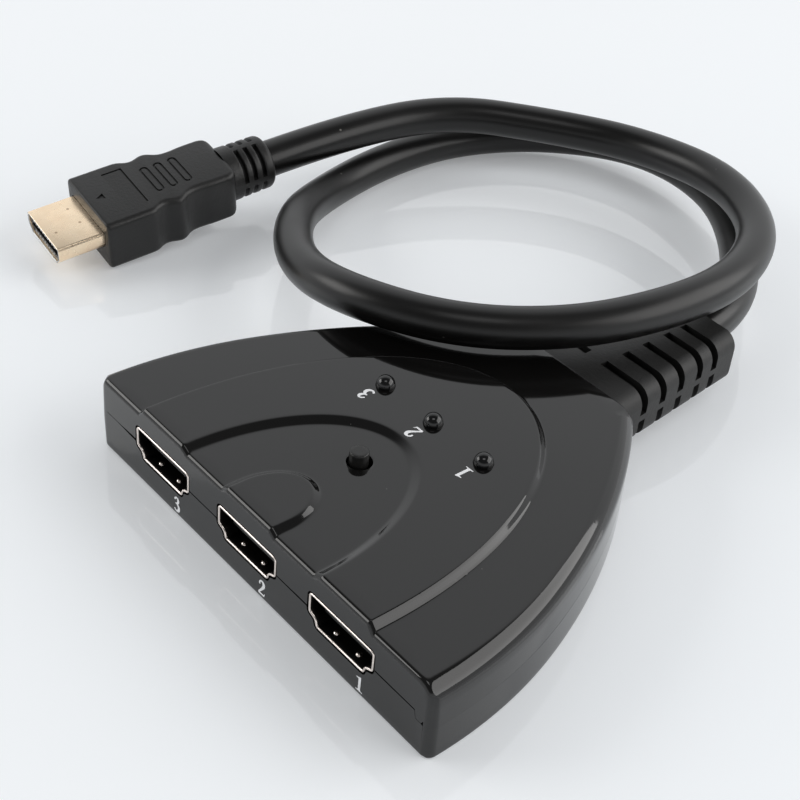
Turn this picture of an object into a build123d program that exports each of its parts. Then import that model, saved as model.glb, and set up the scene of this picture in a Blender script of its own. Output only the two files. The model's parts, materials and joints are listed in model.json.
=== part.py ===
from build123d import *
import math
import os

# ---------------------------------------------------------------- driving sizes (mm)
# frame: X across the row of sockets, -Y out of the sockets, +Z up, z = 0 on the table
DEPTH = 67.5                     # front face to rear face of the housing
YF, YR = -DEPTH / 2, DEPTH / 2   # front and rear face
TOP_Z = 14.0                     # outer band of the top
BAND_Z = 15.3                    # raised band with the lamps, and the thumb rest
INNER_Z = 14.5                   # recessed field round the button
SEAM_Z, SEAM_FRONT_Z, SEAM_GAP = 6.2, 7.7, 0.2
WALL, FLOOR_T, CEIL_Z = 2.0, 2.0, 12.0
ARC_1 = (-38.142, -31.554, 81.353)    # side outline, front arc: centre x, centre y, radius
ARC_2 = (-68.490, -41.845, 113.398)   # side outline, rear arc
ARC_JOINT = 0.32695                   # angle at which the arcs meet, rad

SOCKET_X = (23.05, 0.0, -23.05)       # input 1, 2, 3
SOCKET_W, SOCKET_H, SOCKET_Z = 15.0, 5.76, 7.91
SOCKET_CUT = (2.16, 1.99)             # lower corners
SOCKET_WALL, SOCKET_DEPTH = 0.4, 11.6
CUTOUT_GAP = 0.3

PCB_T = 1.6
PCB_TOP = SOCKET_Z - SOCKET_H / 2
PCB_BOT = PCB_TOP - PCB_T
PCB_REAR = 24.0

LED_X, LED_Y, LED_R = (12.09, 0.0, -12.09), 2.61, 1.65
BUTTON_Y, BUTTON_R, BUTTON_TOP, BUTTON_HOLE_R = -12.55, 1.58, 16.5, 2.1
BUTTON_TRAVEL = 0.25
SCREWS = ((36.0, -27.3), (-36.0, -27.3), (20.0, 14.0), (-20.0, 14.0))

CORD_D, CORD_Z = 7.6, 7.9
RELIEF_L, RELIEF_W0, RELIEF_W1 = 33.0, 26.0, 19.6
RELIEF_Z0, RELIEF_Z1 = 2.6, 13.2
RELIEF_SLOTS = (6.6, 11.9, 17.1, 22.5, 27.0)

PLUG_W, PLUG_WR, PLUG_H, PLUG_L, BOOT_L, BOOT_D = 18.0, 14.4, 10.8, 29.8, 9.7, 11.4
PLUG_AT, PLUG_YAW, PLUG_PITCH, PLUG_ROLL = (-94.3, -4.61, 6.33), 264.5, -6.5, -5.9
PLUG_SHELL = (13.9, 4.45, 9.7)        # width, height, length outside the moulding
PLUG_SHELL_DROP = -0.2
# half width of the moulding behind its front block: two hollows with a finger bump between them
PLUG_WAIST = ((9.0, 10.3), (7.8, 12.5), (8.9, 16.1), (6.8, 19.4), (7.2, 23.5))

# route of the cord's centre line
ROUTE = [
    (0.0, 66.75, 7.9), (0.0, 85.14, 7.9), (-22.64, 109.59, 6.89), (-52.46, 116.39, 6.67),
    (-75.43, 105.77, 4.43), (-87.69, 82.33, 3.98), (-85.62, 55.48, 3.85), (-76.87, 34.70, 7.03),
    (-56.88, 14.21, 13.93), (-31.14, 7.46, 21.51), (-8.03, 18.40, 22.98), (3.57, 42.64, 21.82),
    (4.35, 67.65, 20.89), (-6.31, 92.69, 17.94), (-29.77, 106.48, 15.46), (-55.08, 103.61, 13.28),
    (-80.45, 84.08, 13.61), (-89.08, 55.56, 12.11),
]

os.makedirs("parts", exist_ok=True)
made = []


def save(shape, node):
    solids = shape.solids()
    bb = shape.bounding_box()
    print(f"{node:20s} solids {len(solids):3d}  x {bb.min.X:7.2f} {bb.max.X:7.2f}  y {bb.min.Y:7.2f} {bb.max.Y:7.2f}"
          f"  z {bb.min.Z:6.2f} {bb.max.Z:6.2f}  vol {shape.volume:9.1f}  ok {shape.is_valid}")
    export_step(shape, f"parts/{node}.step")
    made.append(node)


def block(x0, x1, y0, y1, z0, z1):
    return Pos((x0 + x1) / 2, (y0 + y1) / 2, (z0 + z1) / 2) * Box(x1 - x0, y1 - y0, z1 - z0)


def rod(x, y, z0, z1, r):
    return Pos(x, y, (z0 + z1) / 2) * Cylinder(r, z1 - z0)


def group(parts):
    return Compound(children=[s for p in parts for s in p.solids()])


# ---------------------------------------------------------------- outline of the housing
def outline(inset, y_front=None, y_rear=None, corner=0.0, rear_corner=0.0):
    yf = YF + inset if y_front is None else y_front
    yr = YR - inset if y_rear is None else y_rear
    (cx1, cy1, r1), (cx2, cy2, r2) = ARC_1, ARC_2
    r1, r2 = r1 - inset, r2 - inset
    a0, a1 = math.asin((yf - cy1) / r1), ARC_JOINT
    b0, b1 = ARC_JOINT, math.asin((yr - cy2) / r2)
    at1 = lambda a: (cx1 + r1 * math.cos(a), cy1 + r1 * math.sin(a))
    at2 = lambda a: (cx2 + r2 * math.cos(a), cy2 + r2 * math.sin(a))
    flip = lambda p: (-p[0], p[1])
    p0, p1, p2 = at1(a0), at1((a0 + a1) / 2), at1(a1)
    q1, q2 = at2((b0 + b1) / 2), at2(b1)
    edges = [
        Line(flip(p0), p0), ThreePointArc(p0, p1, p2), ThreePointArc(p2, q1, q2),
        Line(q2, flip(q2)), ThreePointArc(flip(q2), flip(q1), flip(p2)),
        ThreePointArc(flip(p2), flip(p1), flip(p0)),
    ]
    face = Sketch() + make_face(edges)
    if corner:
        face = fillet(face.vertices().group_by(Axis.Y)[0], corner)
    if rear_corner:
        face = fillet(face.vertices().group_by(Axis.Y)[-1], rear_corner)
    return face


def slab(z0, z1, inset=0.0, **kw):
    return Pos(0, 0, z0) * extrude(outline(inset, **kw), z1 - z0)


def oval(a, b, y0, z):
    return Pos(0, YF + y0, z) * Ellipse(a, b)


def dished(a, b, y0, z0, a1, b1, z1):
    return loft([oval(a, b, y0, z0).face(), oval(a1, b1, y0, z1).face()])


# whole outer body first, then the seam divides it
rounded = extrude(outline(0.0, y_front=YF - 9, rear_corner=3.0), TOP_Z)
rim = [e for e in rounded.edges() if abs(e.center().Z - TOP_Z) < 1e-3 and e.center().Y > YF - 8.9]
rounded = fillet(rim, 2.1)
outer = rounded & slab(-1, TOP_Z + 1, corner=2.3, rear_corner=3.0)
front_half = block(-60, 60, YF, 60, 0, 30)
band = (dished(29.5, 50.2, 3.8, TOP_Z - 0.6, 28.7, 49.4, BAND_Z) & front_half)
field = dished(16.9, 28.5, 0.8, INNER_Z, 17.4, 29.0, BAND_Z + 0.4)
thumb = (dished(6.3, 8.8, 3.3, INNER_Z - 0.5, 5.6, 8.1, BAND_Z) & front_half)
outer = outer + band
outer = outer - field
outer = outer + thumb
# bevel strip along the front edge, one length for each level
for x0, x1, z in ((29.6, 50.0, TOP_Z), (17.4, 28.6, BAND_Z), (6.3, 16.8, INNER_Z), (-5.6, 5.6, BAND_Z)):
    for s in (-1, 1):
        if x0 < 0 and s < 0:
            continue
        lo, hi = sorted((s * x0, s * x1))
        wedge = Plane(origin=(lo, YF, z), x_dir=(0, 1, 0), z_dir=(1, 0, 0)) * \
            Polygon((-0.5, -0.55), (0.0, -0.55), (0.5, 0.0), (0.5, 0.4), (-0.5, 0.4), align=None)
        outer = outer - extrude(wedge, hi - lo, dir=(1, 0, 0))


def socket_outline(grow):
    w, h = SOCKET_W / 2 + grow, SOCKET_H / 2 + grow
    cx, cz = SOCKET_CUT
    k = 0.41 * grow
    return [(-w, h), (w, h), (w, -h + cz + k), (w - cx - k, -h), (-w + cx + k, -h), (-w, -h + cz + k)]


def socket_prism(x, grow, y0, y1, r):
    face = Plane(origin=(x, y1, SOCKET_Z), x_dir=(1, 0, 0), z_dir=(0, -1, 0)) * \
        fillet(Polygon(*socket_outline(grow), align=None).vertices(), r)
    return extrude(face, y1 - y0, dir=(0, -1, 0))


cutouts = [socket_prism(x, CUTOUT_GAP, YF - 1, YF + WALL + 0.5, 0.7) for x in SOCKET_X]
relief_hole = block(-9.05, 9.05, YR - WALL - 1, YR + 1, 3.85, 11.95)
led_holes = [rod(x, LED_Y, 11, 18, LED_R + 0.1) for x in LED_X]
button_hole = rod(0, BUTTON_Y, 11, 18, BUTTON_HOLE_R)

below = slab(-1, SEAM_Z, corner=2.3, rear_corner=3.0) + block(-40, 40, YF - 1, YF + WALL, SEAM_Z - 1, SEAM_FRONT_Z)
below_gap = slab(-2, SEAM_Z + SEAM_GAP, inset=-1.0) + \
    block(-40.1, 40.1, YF - 2, YF + WALL, SEAM_Z - 1, SEAM_FRONT_Z + SEAM_GAP)
lip_outer = slab(SEAM_Z, SEAM_Z + 1.5, inset=1.15, y_front=YF + WALL + 0.3, y_rear=YR - WALL + 0.9)
lip_inner = slab(SEAM_Z - 1, SEAM_Z + 2, inset=WALL, y_front=YF + WALL - 5, y_rear=YR - WALL)
rebate = slab(SEAM_Z, SEAM_Z + 1.7, inset=1.0, y_front=YF + WALL + 0.1, y_rear=YR - WALL + 1.0)

# ---------------------------------------------------------------- covers
cavity_low = slab(FLOOR_T, SEAM_FRONT_Z + 2, inset=WALL)
bottom = (outer & below) - cavity_low
lip = lip_outer - lip_inner
bottom = bottom + (lip - block(-12, 12, 20, 40, 0, 20))
for x, y in SCREWS:
    bottom = bottom + rod(x, y, FLOOR_T - 0.5, PCB_BOT, 3.6)
for x, y in SCREWS:
    bottom = bottom - rod(x, y, -1, 1.7, 2.4) - rod(x, y, 0, 6, 1.2)
for c in cutouts:
    bottom = bottom - c
bottom = bottom - relief_hole

cavity_high = slab(SEAM_Z - 2, CEIL_Z, inset=WALL)
top = (outer - below_gap) - cavity_high
top = top - rebate
for x, y in SCREWS:
    top = top + (rod(x, y, PCB_TOP, CEIL_Z + 0.5, 3.0) - rod(x, y, PCB_TOP - 1, 11.0, 1.05))
for c in cutouts:
    top = top - c
for c in led_holes:
    top = top - c
top = top - button_hole - relief_hole
save(top, "top_cover")
save(bottom, "bottom_cover")

screw = Part() + rod(0, 0, 0.35, 1.7, 2.1) + rod(0, 0, 1.6, 9.5, 1.0)
screw = screw - block(-1.4, 1.4, -0.3, 0.3, 0, 0.9) - block(-0.3, 0.3, -1.4, 1.4, 0, 0.9)
save(group([Pos(x, y, 0) * screw for x, y in SCREWS]), "cover_screws")

# ---------------------------------------------------------------- sockets
TONGUE = (5.45, 1.1, SOCKET_Z + 0.3)      # half width, thickness, centre height
SHELL_Y0, SHELL_Y1 = YF, YF + SOCKET_DEPTH
BLOCK_Y = SHELL_Y1 - 3.2
TAB_Y = (SHELL_Y0 + 4.2, SHELL_Y1 - 2.2)


def contact(x, z, y_foot):
    bar = block(x - 0.22, x + 0.22, SHELL_Y0 + 2.1, y_foot + 0.2, z - 0.08, z + 0.08)
    leg = block(x - 0.22, x + 0.22, y_foot, y_foot + 0.2, PCB_TOP, z + 0.08)
    foot = block(x - 0.22, x + 0.22, y_foot, y_foot + 1.1, PCB_TOP, PCB_TOP + 0.16)
    return Part() + bar + leg + foot


for n, x in zip((1, 2, 3), SOCKET_X):
    shell = Part() + socket_prism(x, 0.0, SHELL_Y0, SHELL_Y1, 0.6) \
        - socket_prism(x, -SOCKET_WALL, SHELL_Y0 - 1, SHELL_Y1 + 1, 0.35)
    for side in (-1, 1):
        for ty in TAB_Y:
            shell = shell + block(x + side * 7.3 - 0.2, x + side * 7.3 + 0.2, ty - 0.6, ty + 0.6,
                                  PCB_BOT - 0.7, SOCKET_Z)
    # spring tongues pressed into the roof
    for dx in (-3.6, 3.6):
        shell = shell + block(x + dx - 0.9, x + dx + 0.9, SHELL_Y0 + 2.5, SHELL_Y0 + 5.5,
                              SOCKET_Z + SOCKET_H / 2 - SOCKET_WALL - 0.12, SOCKET_Z + SOCKET_H / 2 - 0.1)
    save(shell, f"socket_{n}_shell")

    ztop, zbot = TONGUE[2] + TONGUE[1] / 2, TONGUE[2] - TONGUE[1] / 2
    pins = [contact(x - 4.5 + i, ztop - 0.04, SHELL_Y1 + 0.25) for i in range(10)]
    pins += [contact(x - 4.0 + i, zbot + 0.04, SHELL_Y1 + 0.25) for i in range(9)]
    body = Part() + socket_prism(x, -SOCKET_WALL - 0.02, BLOCK_Y, SHELL_Y1, 0.3)
    body = body + block(x - TONGUE[0], x + TONGUE[0], SHELL_Y0 + 1.5, BLOCK_Y + 0.5, zbot, ztop)
    for p in pins:
        body = body - p
    save(body, f"socket_{n}_insulator")
    save(group(pins), f"socket_{n}_contacts")

# ---------------------------------------------------------------- circuit board
board = slab(PCB_BOT, PCB_TOP, inset=WALL + 0.6, y_rear=PCB_REAR)
for x, y in SCREWS:
    board = board - rod(x, y, 0, 8, 1.3)
for x in SOCKET_X:
    for side in (-1, 1):
        for ty in TAB_Y:
            board = board - block(x + side * 7.3 - 0.4, x + side * 7.3 + 0.4, ty - 0.8, ty + 0.8, 0, 8)
for x in LED_X:
    for dx in (-1.27, 1.27):
        board = board - rod(x + dx, LED_Y, 0, 8, 0.45)
SWITCH_PINS = [(sx * 3.25, BUTTON_Y + sy * 2.25) for sx in (-1, 1) for sy in (-1, 1)]
for x, y in SWITCH_PINS:
    board = board - rod(x, y, 0, 8, 0.5)
save(board, "circuit_board")

# ---------------------------------------------------------------- push switch
SW_TOP = PCB_TOP + 3.4
base = Part() + block(-3, 3, BUTTON_Y - 3, BUTTON_Y + 3, PCB_TOP, SW_TOP)
base = base - rod(0, BUTTON_Y, PCB_TOP + 0.9, SW_TOP + 1, 2.4)
save(base, "switch_base")
plate = Part() + block(-3, 3, BUTTON_Y - 3, BUTTON_Y + 3, SW_TOP, SW_TOP + 0.25)
plate = plate - rod(0, BUTTON_Y, SW_TOP - 1, SW_TOP + 1, BUTTON_R + 0.07)
save(plate, "switch_cover_plate")
DOME_Z0, DOME_Z1 = PCB_TOP + 0.9, SW_TOP - 0.95
dome = Pos(0, BUTTON_Y, (DOME_Z0 + DOME_Z1) / 2) * Cone(2.25, 0.9, DOME_Z1 - DOME_Z0)
dome = dome - Pos(0, BUTTON_Y, (DOME_Z0 + DOME_Z1) / 2 - 0.15) * Cone(2.1, 0.75, DOME_Z1 - DOME_Z0)
save(dome, "switch_dome")
button = Part() + rod(0, BUTTON_Y, SW_TOP - 0.95, SW_TOP - 0.05, 2.2) + rod(0, BUTTON_Y, SW_TOP - 0.2, BUTTON_TOP, BUTTON_R)
button = fillet(button.edges().filter_by(GeomType.CIRCLE).group_by(Axis.Z)[-1], 0.3)
save(button, "select_button")
legs = []
for x, y in SWITCH_PINS:
    legs.append(Part() + block(x - 0.15, x + 0.15, y - 0.35, y + 0.35, PCB_BOT - 1.0, PCB_TOP + 1.3))
save(group(legs), "switch_terminals")

# ---------------------------------------------------------------- lamps
for n, x in zip((1, 2, 3), LED_X):
    lens = Part() + rod(x, LED_Y, 10.7, 11.7, 2.3) + rod(x, LED_Y, 11.5, BAND_Z + 0.1, LED_R)
    lens = lens + (Pos(x, LED_Y, BAND_Z + 0.1) * Sphere(LED_R) & block(x - 4, x + 4, LED_Y - 4, LED_Y + 4, 14, 20))
    save(lens, f"led_{n}_lens")
leads = [block(x + dx - 0.22, x + dx + 0.22, LED_Y - 0.22, LED_Y + 0.22, PCB_BOT - 1.0, 10.7)
         for x in LED_X for dx in (-1.27, 1.27)]
save(group(leads), "led_leads")

# ---------------------------------------------------------------- chip and small parts
CHIP = (-16.5, -11.0)
chip = block(CHIP[0] - 5, CHIP[0] + 5, CHIP[1] - 5, CHIP[1] + 5, PCB_TOP + 0.1, PCB_TOP + 1.3)
chip = chamfer(chip.edges().group_by(Axis.Z)[-1], 0.12)
save(chip, "switch_chip")
leads = []
for i in range(12):
    t = -3.85 + 0.7 * i
    for s in (-1, 1):
        leads.append(block(*sorted((CHIP[0] + s * 5.0, CHIP[0] + s * 6.0)), CHIP[1] + t - 0.13, CHIP[1] + t + 0.13, PCB_TOP, PCB_TOP + 0.6))
        leads.append(block(CHIP[0] + t - 0.13, CHIP[0] + t + 0.13, *sorted((CHIP[1] + s * 5.0, CHIP[1] + s * 6.0)), PCB_TOP, PCB_TOP + 0.6))
save(group(leads), "chip_leads")
caps = [(9.0, -8.0), (12.5, -8.0), (16.0, -12.0), (20.0, -12.0), (24.0, -6.0), (-27.0, -8.0), (-27.0, -4.0), (-9.0, 9.0)]
save(group([block(x - 0.8, x + 0.8, y - 0.45, y + 0.45, PCB_TOP, PCB_TOP + 0.85) for x, y in caps]), "capacitors")
ress = [(9.0, -5.0), (12.5, -5.0), (16.0, -9.0), (20.0, -9.0), (24.0, -3.0), (9.0, 6.0), (-3.5, 7.0), (-16.0, 6.0)]
save(group([block(x - 0.8, x + 0.8, y - 0.4, y + 0.4, PCB_TOP, PCB_TOP + 0.5) for x, y in ress]), "resistors")

# ---------------------------------------------------------------- strain relief and the cord's end inside it
INNER_Y, FLANGE_Y0 = 27.5, 28.0


def ring_rect(w, h, y, z, r):
    return (Plane(origin=(0, y, z), x_dir=(1, 0, 0), z_dir=(0, 1, 0)) * RectangleRounded(w, h, r)).face()


zc, zh = (RELIEF_Z0 + RELIEF_Z1) / 2, RELIEF_Z1 - RELIEF_Z0
Y0, Y1 = YR + 0.1, YR + RELIEF_L
relief = loft([ring_rect(RELIEF_W0, zh, Y0, zc, 3.0), ring_rect(RELIEF_W1, zh, Y1, zc, 3.0)])
core = loft([ring_rect(RELIEF_W0 - 5, zh - 2.6, Y0 - 1, zc, 1.8), ring_rect(RELIEF_W1 - 5, zh - 2.6, Y1 + 1, zc, 1.8)])
cutter = Part()
for s in RELIEF_SLOTS:
    cutter = cutter + block(-20, 20, YR + s - 0.85, YR + s + 0.85, -5, 25)
cutter = cutter - core - block(-1.9, 1.9, 30, 70, -6, 26) - block(-22, 22, 30, 70, zc - 0.65, zc + 0.65)
relief = relief - cutter
relief = relief + block(-9.0, 9.0, YR - WALL - 0.3, Y0 + 0.2, 3.9, 11.9)
relief = relief + block(-11.0, 11.0, FLANGE_Y0, YR - WALL - 0.05, 2.2, 11.9)
turn = Plane(origin=(0, 0, CORD_Z), x_dir=(1, 0, 0), z_dir=(0, 1, 0))


def y_rod(y0, y1, r, x=0.0, z=CORD_Z):
    return Plane(origin=(x, (y0 + y1) / 2, z), x_dir=(1, 0, 0), z_dir=(0, 1, 0)) * Cylinder(r, y1 - y0)


relief = relief - y_rod(YR, Y1 + 1, CORD_D / 2) - y_rod(20, YR + 0.5, 3.0)
save(relief, "strain_relief")
save(Part() + y_rod(YR, Y1, CORD_D / 2) + y_rod(INNER_Y, YR + 0.2, 3.0), "cord_inner_end")

wires = []
for i, (x0, z0) in enumerate(((-1.9, 8.6), (-1.2, 7.0), (0.0, 8.9), (1.2, 7.0), (1.9, 8.6))):
    x1 = (-6.0, -3.0, 0.0, 3.0, 6.0)[i]
    path = FilletPolyline((x0, INNER_Y, z0), (x0, 26.4, z0), (x1, 23.0, PCB_TOP + 0.5), (x1, 19.5, PCB_TOP + 0.5), radius=0.9)
    prof = Plane(origin=path @ 0, z_dir=path % 0) * Circle(0.45)
    wires.append(Part() + sweep(prof, path=path))
save(group(wires), "cord_wires")

# ---------------------------------------------------------------- plug
cy, sy = math.cos(math.radians(PLUG_YAW)), math.sin(math.radians(PLUG_YAW))
cp, sp = math.cos(math.radians(PLUG_PITCH)), math.sin(math.radians(PLUG_PITCH))
mouth = Vector(cy * cp, sy * cp, sp)
back = mouth * -1
side = Vector(0, 0, 1).cross(back).normalized() * -1
up = side.cross(back)
cr, sr = math.cos(math.radians(PLUG_ROLL)), math.sin(math.radians(PLUG_ROLL))
side, up = side * cr + up * sr, up * cr - side * sr      # it rests on one lower edge
plug_plane = Plane(origin=PLUG_AT, x_dir=side, z_dir=up)
# local axes: x across the plug, y from the mouth towards the cord, z up
flank = [(PLUG_W / 2, 0), *PLUG_WAIST, (PLUG_WR / 2, PLUG_L)]
plan = Sketch() + make_face(Polyline(*flank, *[(-x, y) for x, y in flank[::-1]], close=True))
plan = fillet([v for v in plan.vertices() if 9 < v.Y < 25], 2.2)
plan = fillet([v for v in plan.vertices() if v.Y > PLUG_L - 0.1], 2.4)
plan = fillet([v for v in plan.vertices() if v.Y < 0.1], 1.3)
body = extrude(plan, PLUG_H / 2, both=True)
body = fillet(body.faces().sort_by(Axis.Z)[-1].edges() + body.faces().sort_by(Axis.Z)[0].edges(), 1.0)


def l_rod(y0, y1, r, r1=None):
    c = Cylinder(r, y1 - y0) if r1 is None else Cone(r, r1, y1 - y0)
    return Plane(origin=(0, (y0 + y1) / 2, 0), x_dir=(1, 0, 0), z_dir=(0, 1, 0)) * c


boot = Part() + l_rod(PLUG_L - 0.5, PLUG_L + BOOT_L, BOOT_D / 2)
# ring slots, each divided by four spines
spines = block(-0.7, 0.7, PLUG_L - 1, PLUG_L + BOOT_L + 1, -9, 9) + block(-9, 9, PLUG_L - 1, PLUG_L + BOOT_L + 1, -0.7, 0.7)
for y in (PLUG_L + 2.25, PLUG_L + 4.35, PLUG_L + 6.5):
    boot = boot - (l_rod(y, y + 1.0, 9) - l_rod(y - 1, y + 3, BOOT_D / 2 - 1.1) - spines)
mould = body + boot
for y in (14.1, 17.1, 20.3):
    groove = SlotOverall(8.4, 1.8) - SlotOverall(7.7, 1.1)
    mould = mould - Pos(0, y, PLUG_H / 2) * extrude(groove, 0.25, both=True)
mould = mould - Pos(0, 2.0, PLUG_H / 2) * extrude(Polygon((-0.9, 1.7), (0.9, 1.7), (0, 0), align=None), 0.3, both=True)
mould = mould - Pos(0, 0, PLUG_H / 2) * extrude(
    Polygon((-6.2, 6.1), (-5.8, 6.1), (-5.8, 10.0), (5.8, 10.0), (5.8, 10.4), (-6.2, 10.4), align=None), 0.25, both=True)
W, H, OUT = PLUG_SHELL


def plug_prism(grow, y0, y1, r=0.5):
    w, h = W / 2 + grow, H / 2 + grow
    pts = [(-w, h), (w, h), (w, -h + 1.7), (w - 1.7, -h), (-w + 1.7, -h), (-w, -h + 1.7)]
    pts = [(-a, b) for a, b in pts]
    face = Plane(origin=(0, y0, -PLUG_SHELL_DROP), x_dir=(-1, 0, 0), z_dir=(0, 1, 0)) * \
        fillet(Polygon(*pts, align=None).vertices(), r)
    return extrude(face, y1 - y0, dir=(0, 1, 0))


mould = mould - plug_prism(0.0, -1, 8.0)
save(plug_plane.location * mould, "plug_moulding")
pshell = Part() + plug_prism(0.0, -OUT, 8.0) - plug_prism(-0.35, -OUT - 1, 7.6, 0.3)
save(plug_plane.location * pshell, "plug_shell")
ins = Part() + plug_prism(-0.37, -OUT + 0.4, 7.5, 0.3)
ins = ins - block(-5.7, 5.7, -OUT - 1, -1.5, -PLUG_SHELL_DROP - 0.45, -PLUG_SHELL_DROP + 0.95)
pins = [block(-4.5 + i - 0.2, -4.5 + i + 0.2, -OUT + 1.0, 7.0, -PLUG_SHELL_DROP + 0.87, -PLUG_SHELL_DROP + 1.03) for i in range(10)]
pins += [block(-4.0 + i - 0.2, -4.0 + i + 0.2, -OUT + 1.0, 7.0, -PLUG_SHELL_DROP - 0.53, -PLUG_SHELL_DROP - 0.37) for i in range(9)]
for p in pins:
    ins = ins - p
save(plug_plane.location * ins, "plug_insulator")
save(plug_plane.location * group(pins), "plug_contacts")

# ---------------------------------------------------------------- cord
end = Vector(*PLUG_AT) + back * (PLUG_L + BOOT_L)
pts = [Vector(*p) for p in ROUTE] + [end]
last = pts[-2]
gap = (end - last).length
pts[-2] = end + back * gap          # last run along the plug's own axis
runs = [(b - a).length for a, b in zip(pts, pts[1:])]
radii = []
for i in range(1, len(pts) - 1):
    half = math.radians((pts[i] - pts[i - 1]).get_angle(pts[i + 1] - pts[i])) / 2
    free = min(runs[i - 1] * (0.9 if i == 1 else 0.45), runs[i] * (0.9 if i == len(pts) - 2 else 0.45))
    radii.append(free / math.tan(half))
print("cord runs ", [round(v, 1) for v in runs])
print("cord turns", [round((pts[i] - pts[i - 1]).get_angle(pts[i + 1] - pts[i]), 1) for i in range(1, len(pts) - 1)])
print("cord radii", [round(v, 1) for v in radii])
path = FilletPolyline(*pts, radius=radii)
section = Plane(origin=path @ 0, z_dir=path % 0) * Circle(CORD_D / 2)
cord = sweep(section, path=path)
ratio = cord.volume / (math.pi * (CORD_D / 2) ** 2 * path.length)
print(f"cord length {path.length:.1f}  volume / (section x length) {ratio:.4f}")
print("cord end", end, "lowest", cord.bounding_box().min.Z)
save(cord, "cord")
print(len(made), "nodes")
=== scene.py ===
import bpy
import bmesh
import json
import math
import numpy as np
from mathutils import Matrix, Vector
from mathutils.geometry import delaunay_2d_cdt


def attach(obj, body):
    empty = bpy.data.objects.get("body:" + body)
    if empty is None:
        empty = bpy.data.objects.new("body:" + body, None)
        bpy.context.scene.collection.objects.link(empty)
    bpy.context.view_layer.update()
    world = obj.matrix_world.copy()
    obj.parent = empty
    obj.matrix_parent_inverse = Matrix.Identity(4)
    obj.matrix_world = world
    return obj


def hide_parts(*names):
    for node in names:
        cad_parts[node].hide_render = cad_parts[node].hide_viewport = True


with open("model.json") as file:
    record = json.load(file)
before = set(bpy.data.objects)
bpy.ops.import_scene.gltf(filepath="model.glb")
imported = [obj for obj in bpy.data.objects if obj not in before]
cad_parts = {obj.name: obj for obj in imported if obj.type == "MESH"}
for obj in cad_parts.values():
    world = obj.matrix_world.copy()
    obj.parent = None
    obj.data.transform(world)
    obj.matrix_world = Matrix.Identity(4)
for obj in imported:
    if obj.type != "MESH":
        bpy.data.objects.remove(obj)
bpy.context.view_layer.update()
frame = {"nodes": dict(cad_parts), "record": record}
NODES = frame["nodes"]
MM = 0.001
COL = bpy.context.scene.collection

# ------------------------------------------------------------------ helpers


def mesh_obj(name, verts, faces, mat=None, smooth=True, angle=None, merge=None, recalc=True, which=None):
    """mat: one material, or a list with an index for each face in which."""
    me = bpy.data.meshes.new(name)
    me.from_pydata([(v[0] * MM, v[1] * MM, v[2] * MM) for v in verts], [], [tuple(int(i) for i in f) for f in faces])
    if which is not None:
        me.polygons.foreach_set("material_index", list(which))
    bm = bmesh.new()
    bm.from_mesh(me)
    if merge:
        bmesh.ops.remove_doubles(bm, verts=bm.verts, dist=merge * MM)
        bmesh.ops.dissolve_degenerate(bm, dist=merge * MM * 0.5, edges=bm.edges)
    if recalc:
        bmesh.ops.recalc_face_normals(bm, faces=bm.faces)
    for f in bm.faces:
        f.smooth = smooth
    if angle is not None:
        for e in bm.edges:
            if len(e.link_faces) == 2 and e.calc_face_angle(0.0) > math.radians(angle):
                e.smooth = False
    bm.to_mesh(me)
    bm.free()
    me.update()
    ob = bpy.data.objects.new(name, me)
    COL.objects.link(ob)
    for one in (mat if isinstance(mat, list) else [mat] if mat else []):
        me.materials.append(one)
    return ob


def smooth_by_angle(ob, angle):
    bm = bmesh.new()
    bm.from_mesh(ob.data)
    for f in bm.faces:
        f.smooth = True
    for e in bm.edges:
        if len(e.link_faces) == 2:
            e.smooth = e.calc_face_angle(0.0) <= math.radians(angle)
    bm.to_mesh(ob.data)
    bm.free()


def bevel(ob, width, segments=2, angle=40.0):
    m = ob.modifiers.new("edge", "BEVEL")
    m.width = width * MM
    m.segments = segments
    m.limit_method = "ANGLE"
    m.angle_limit = math.radians(angle)
    m.use_clamp_overlap = True
    m.harden_normals = False
    return m


def grid_faces(n_row, n_col, closed=True, base=0):
    out = []
    for r in range(n_row - 1):
        for c in range(n_col if closed else n_col - 1):
            d = (c + 1) % n_col
            out.append((base + r * n_col + c, base + r * n_col + d, base + (r + 1) * n_col + d, base + (r + 1) * n_col + c))
    return out


def inside(poly, pts):
    poly = np.asarray(poly)
    x, y = pts[:, 0], pts[:, 1]
    res = np.zeros(len(pts), bool)
    a, b = poly, np.roll(poly, -1, axis=0)
    for (x0, y0), (x1, y1) in zip(a, b):
        if y0 == y1:
            continue
        m = ((y0 > y) != (y1 > y)) & (x < (x1 - x0) * (y - y0) / (y1 - y0) + x0)
        res ^= m
    return res


def fill(loops, extra=(), union=False):
    """Triangles between closed loops (the first is the outer one, the others are holes), with extra points inside.
    With union, everything that lies in any of the loops."""
    pts, edges = [], []
    for lp in loops:
        b = len(pts)
        pts += [tuple(p) for p in lp]
        edges += [(b + i, b + (i + 1) % len(lp)) for i in range(len(lp))]
    pts += [tuple(p) for p in extra]
    v, e, f, ov, oe, of_ = delaunay_2d_cdt([Vector(p) for p in pts], edges, [], 0, 1e-5)
    v = np.array([(p.x, p.y) for p in v])
    f = np.array([t for t in f if len(t) == 3])
    c = v[f].mean(axis=1)
    keep = inside(loops[0], c)
    for lp in loops[1:]:
        keep = keep | inside(lp, c) if union else keep & ~inside(lp, c)
    return v, f[keep]


# ------------------------------------------------------------------ materials


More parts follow.
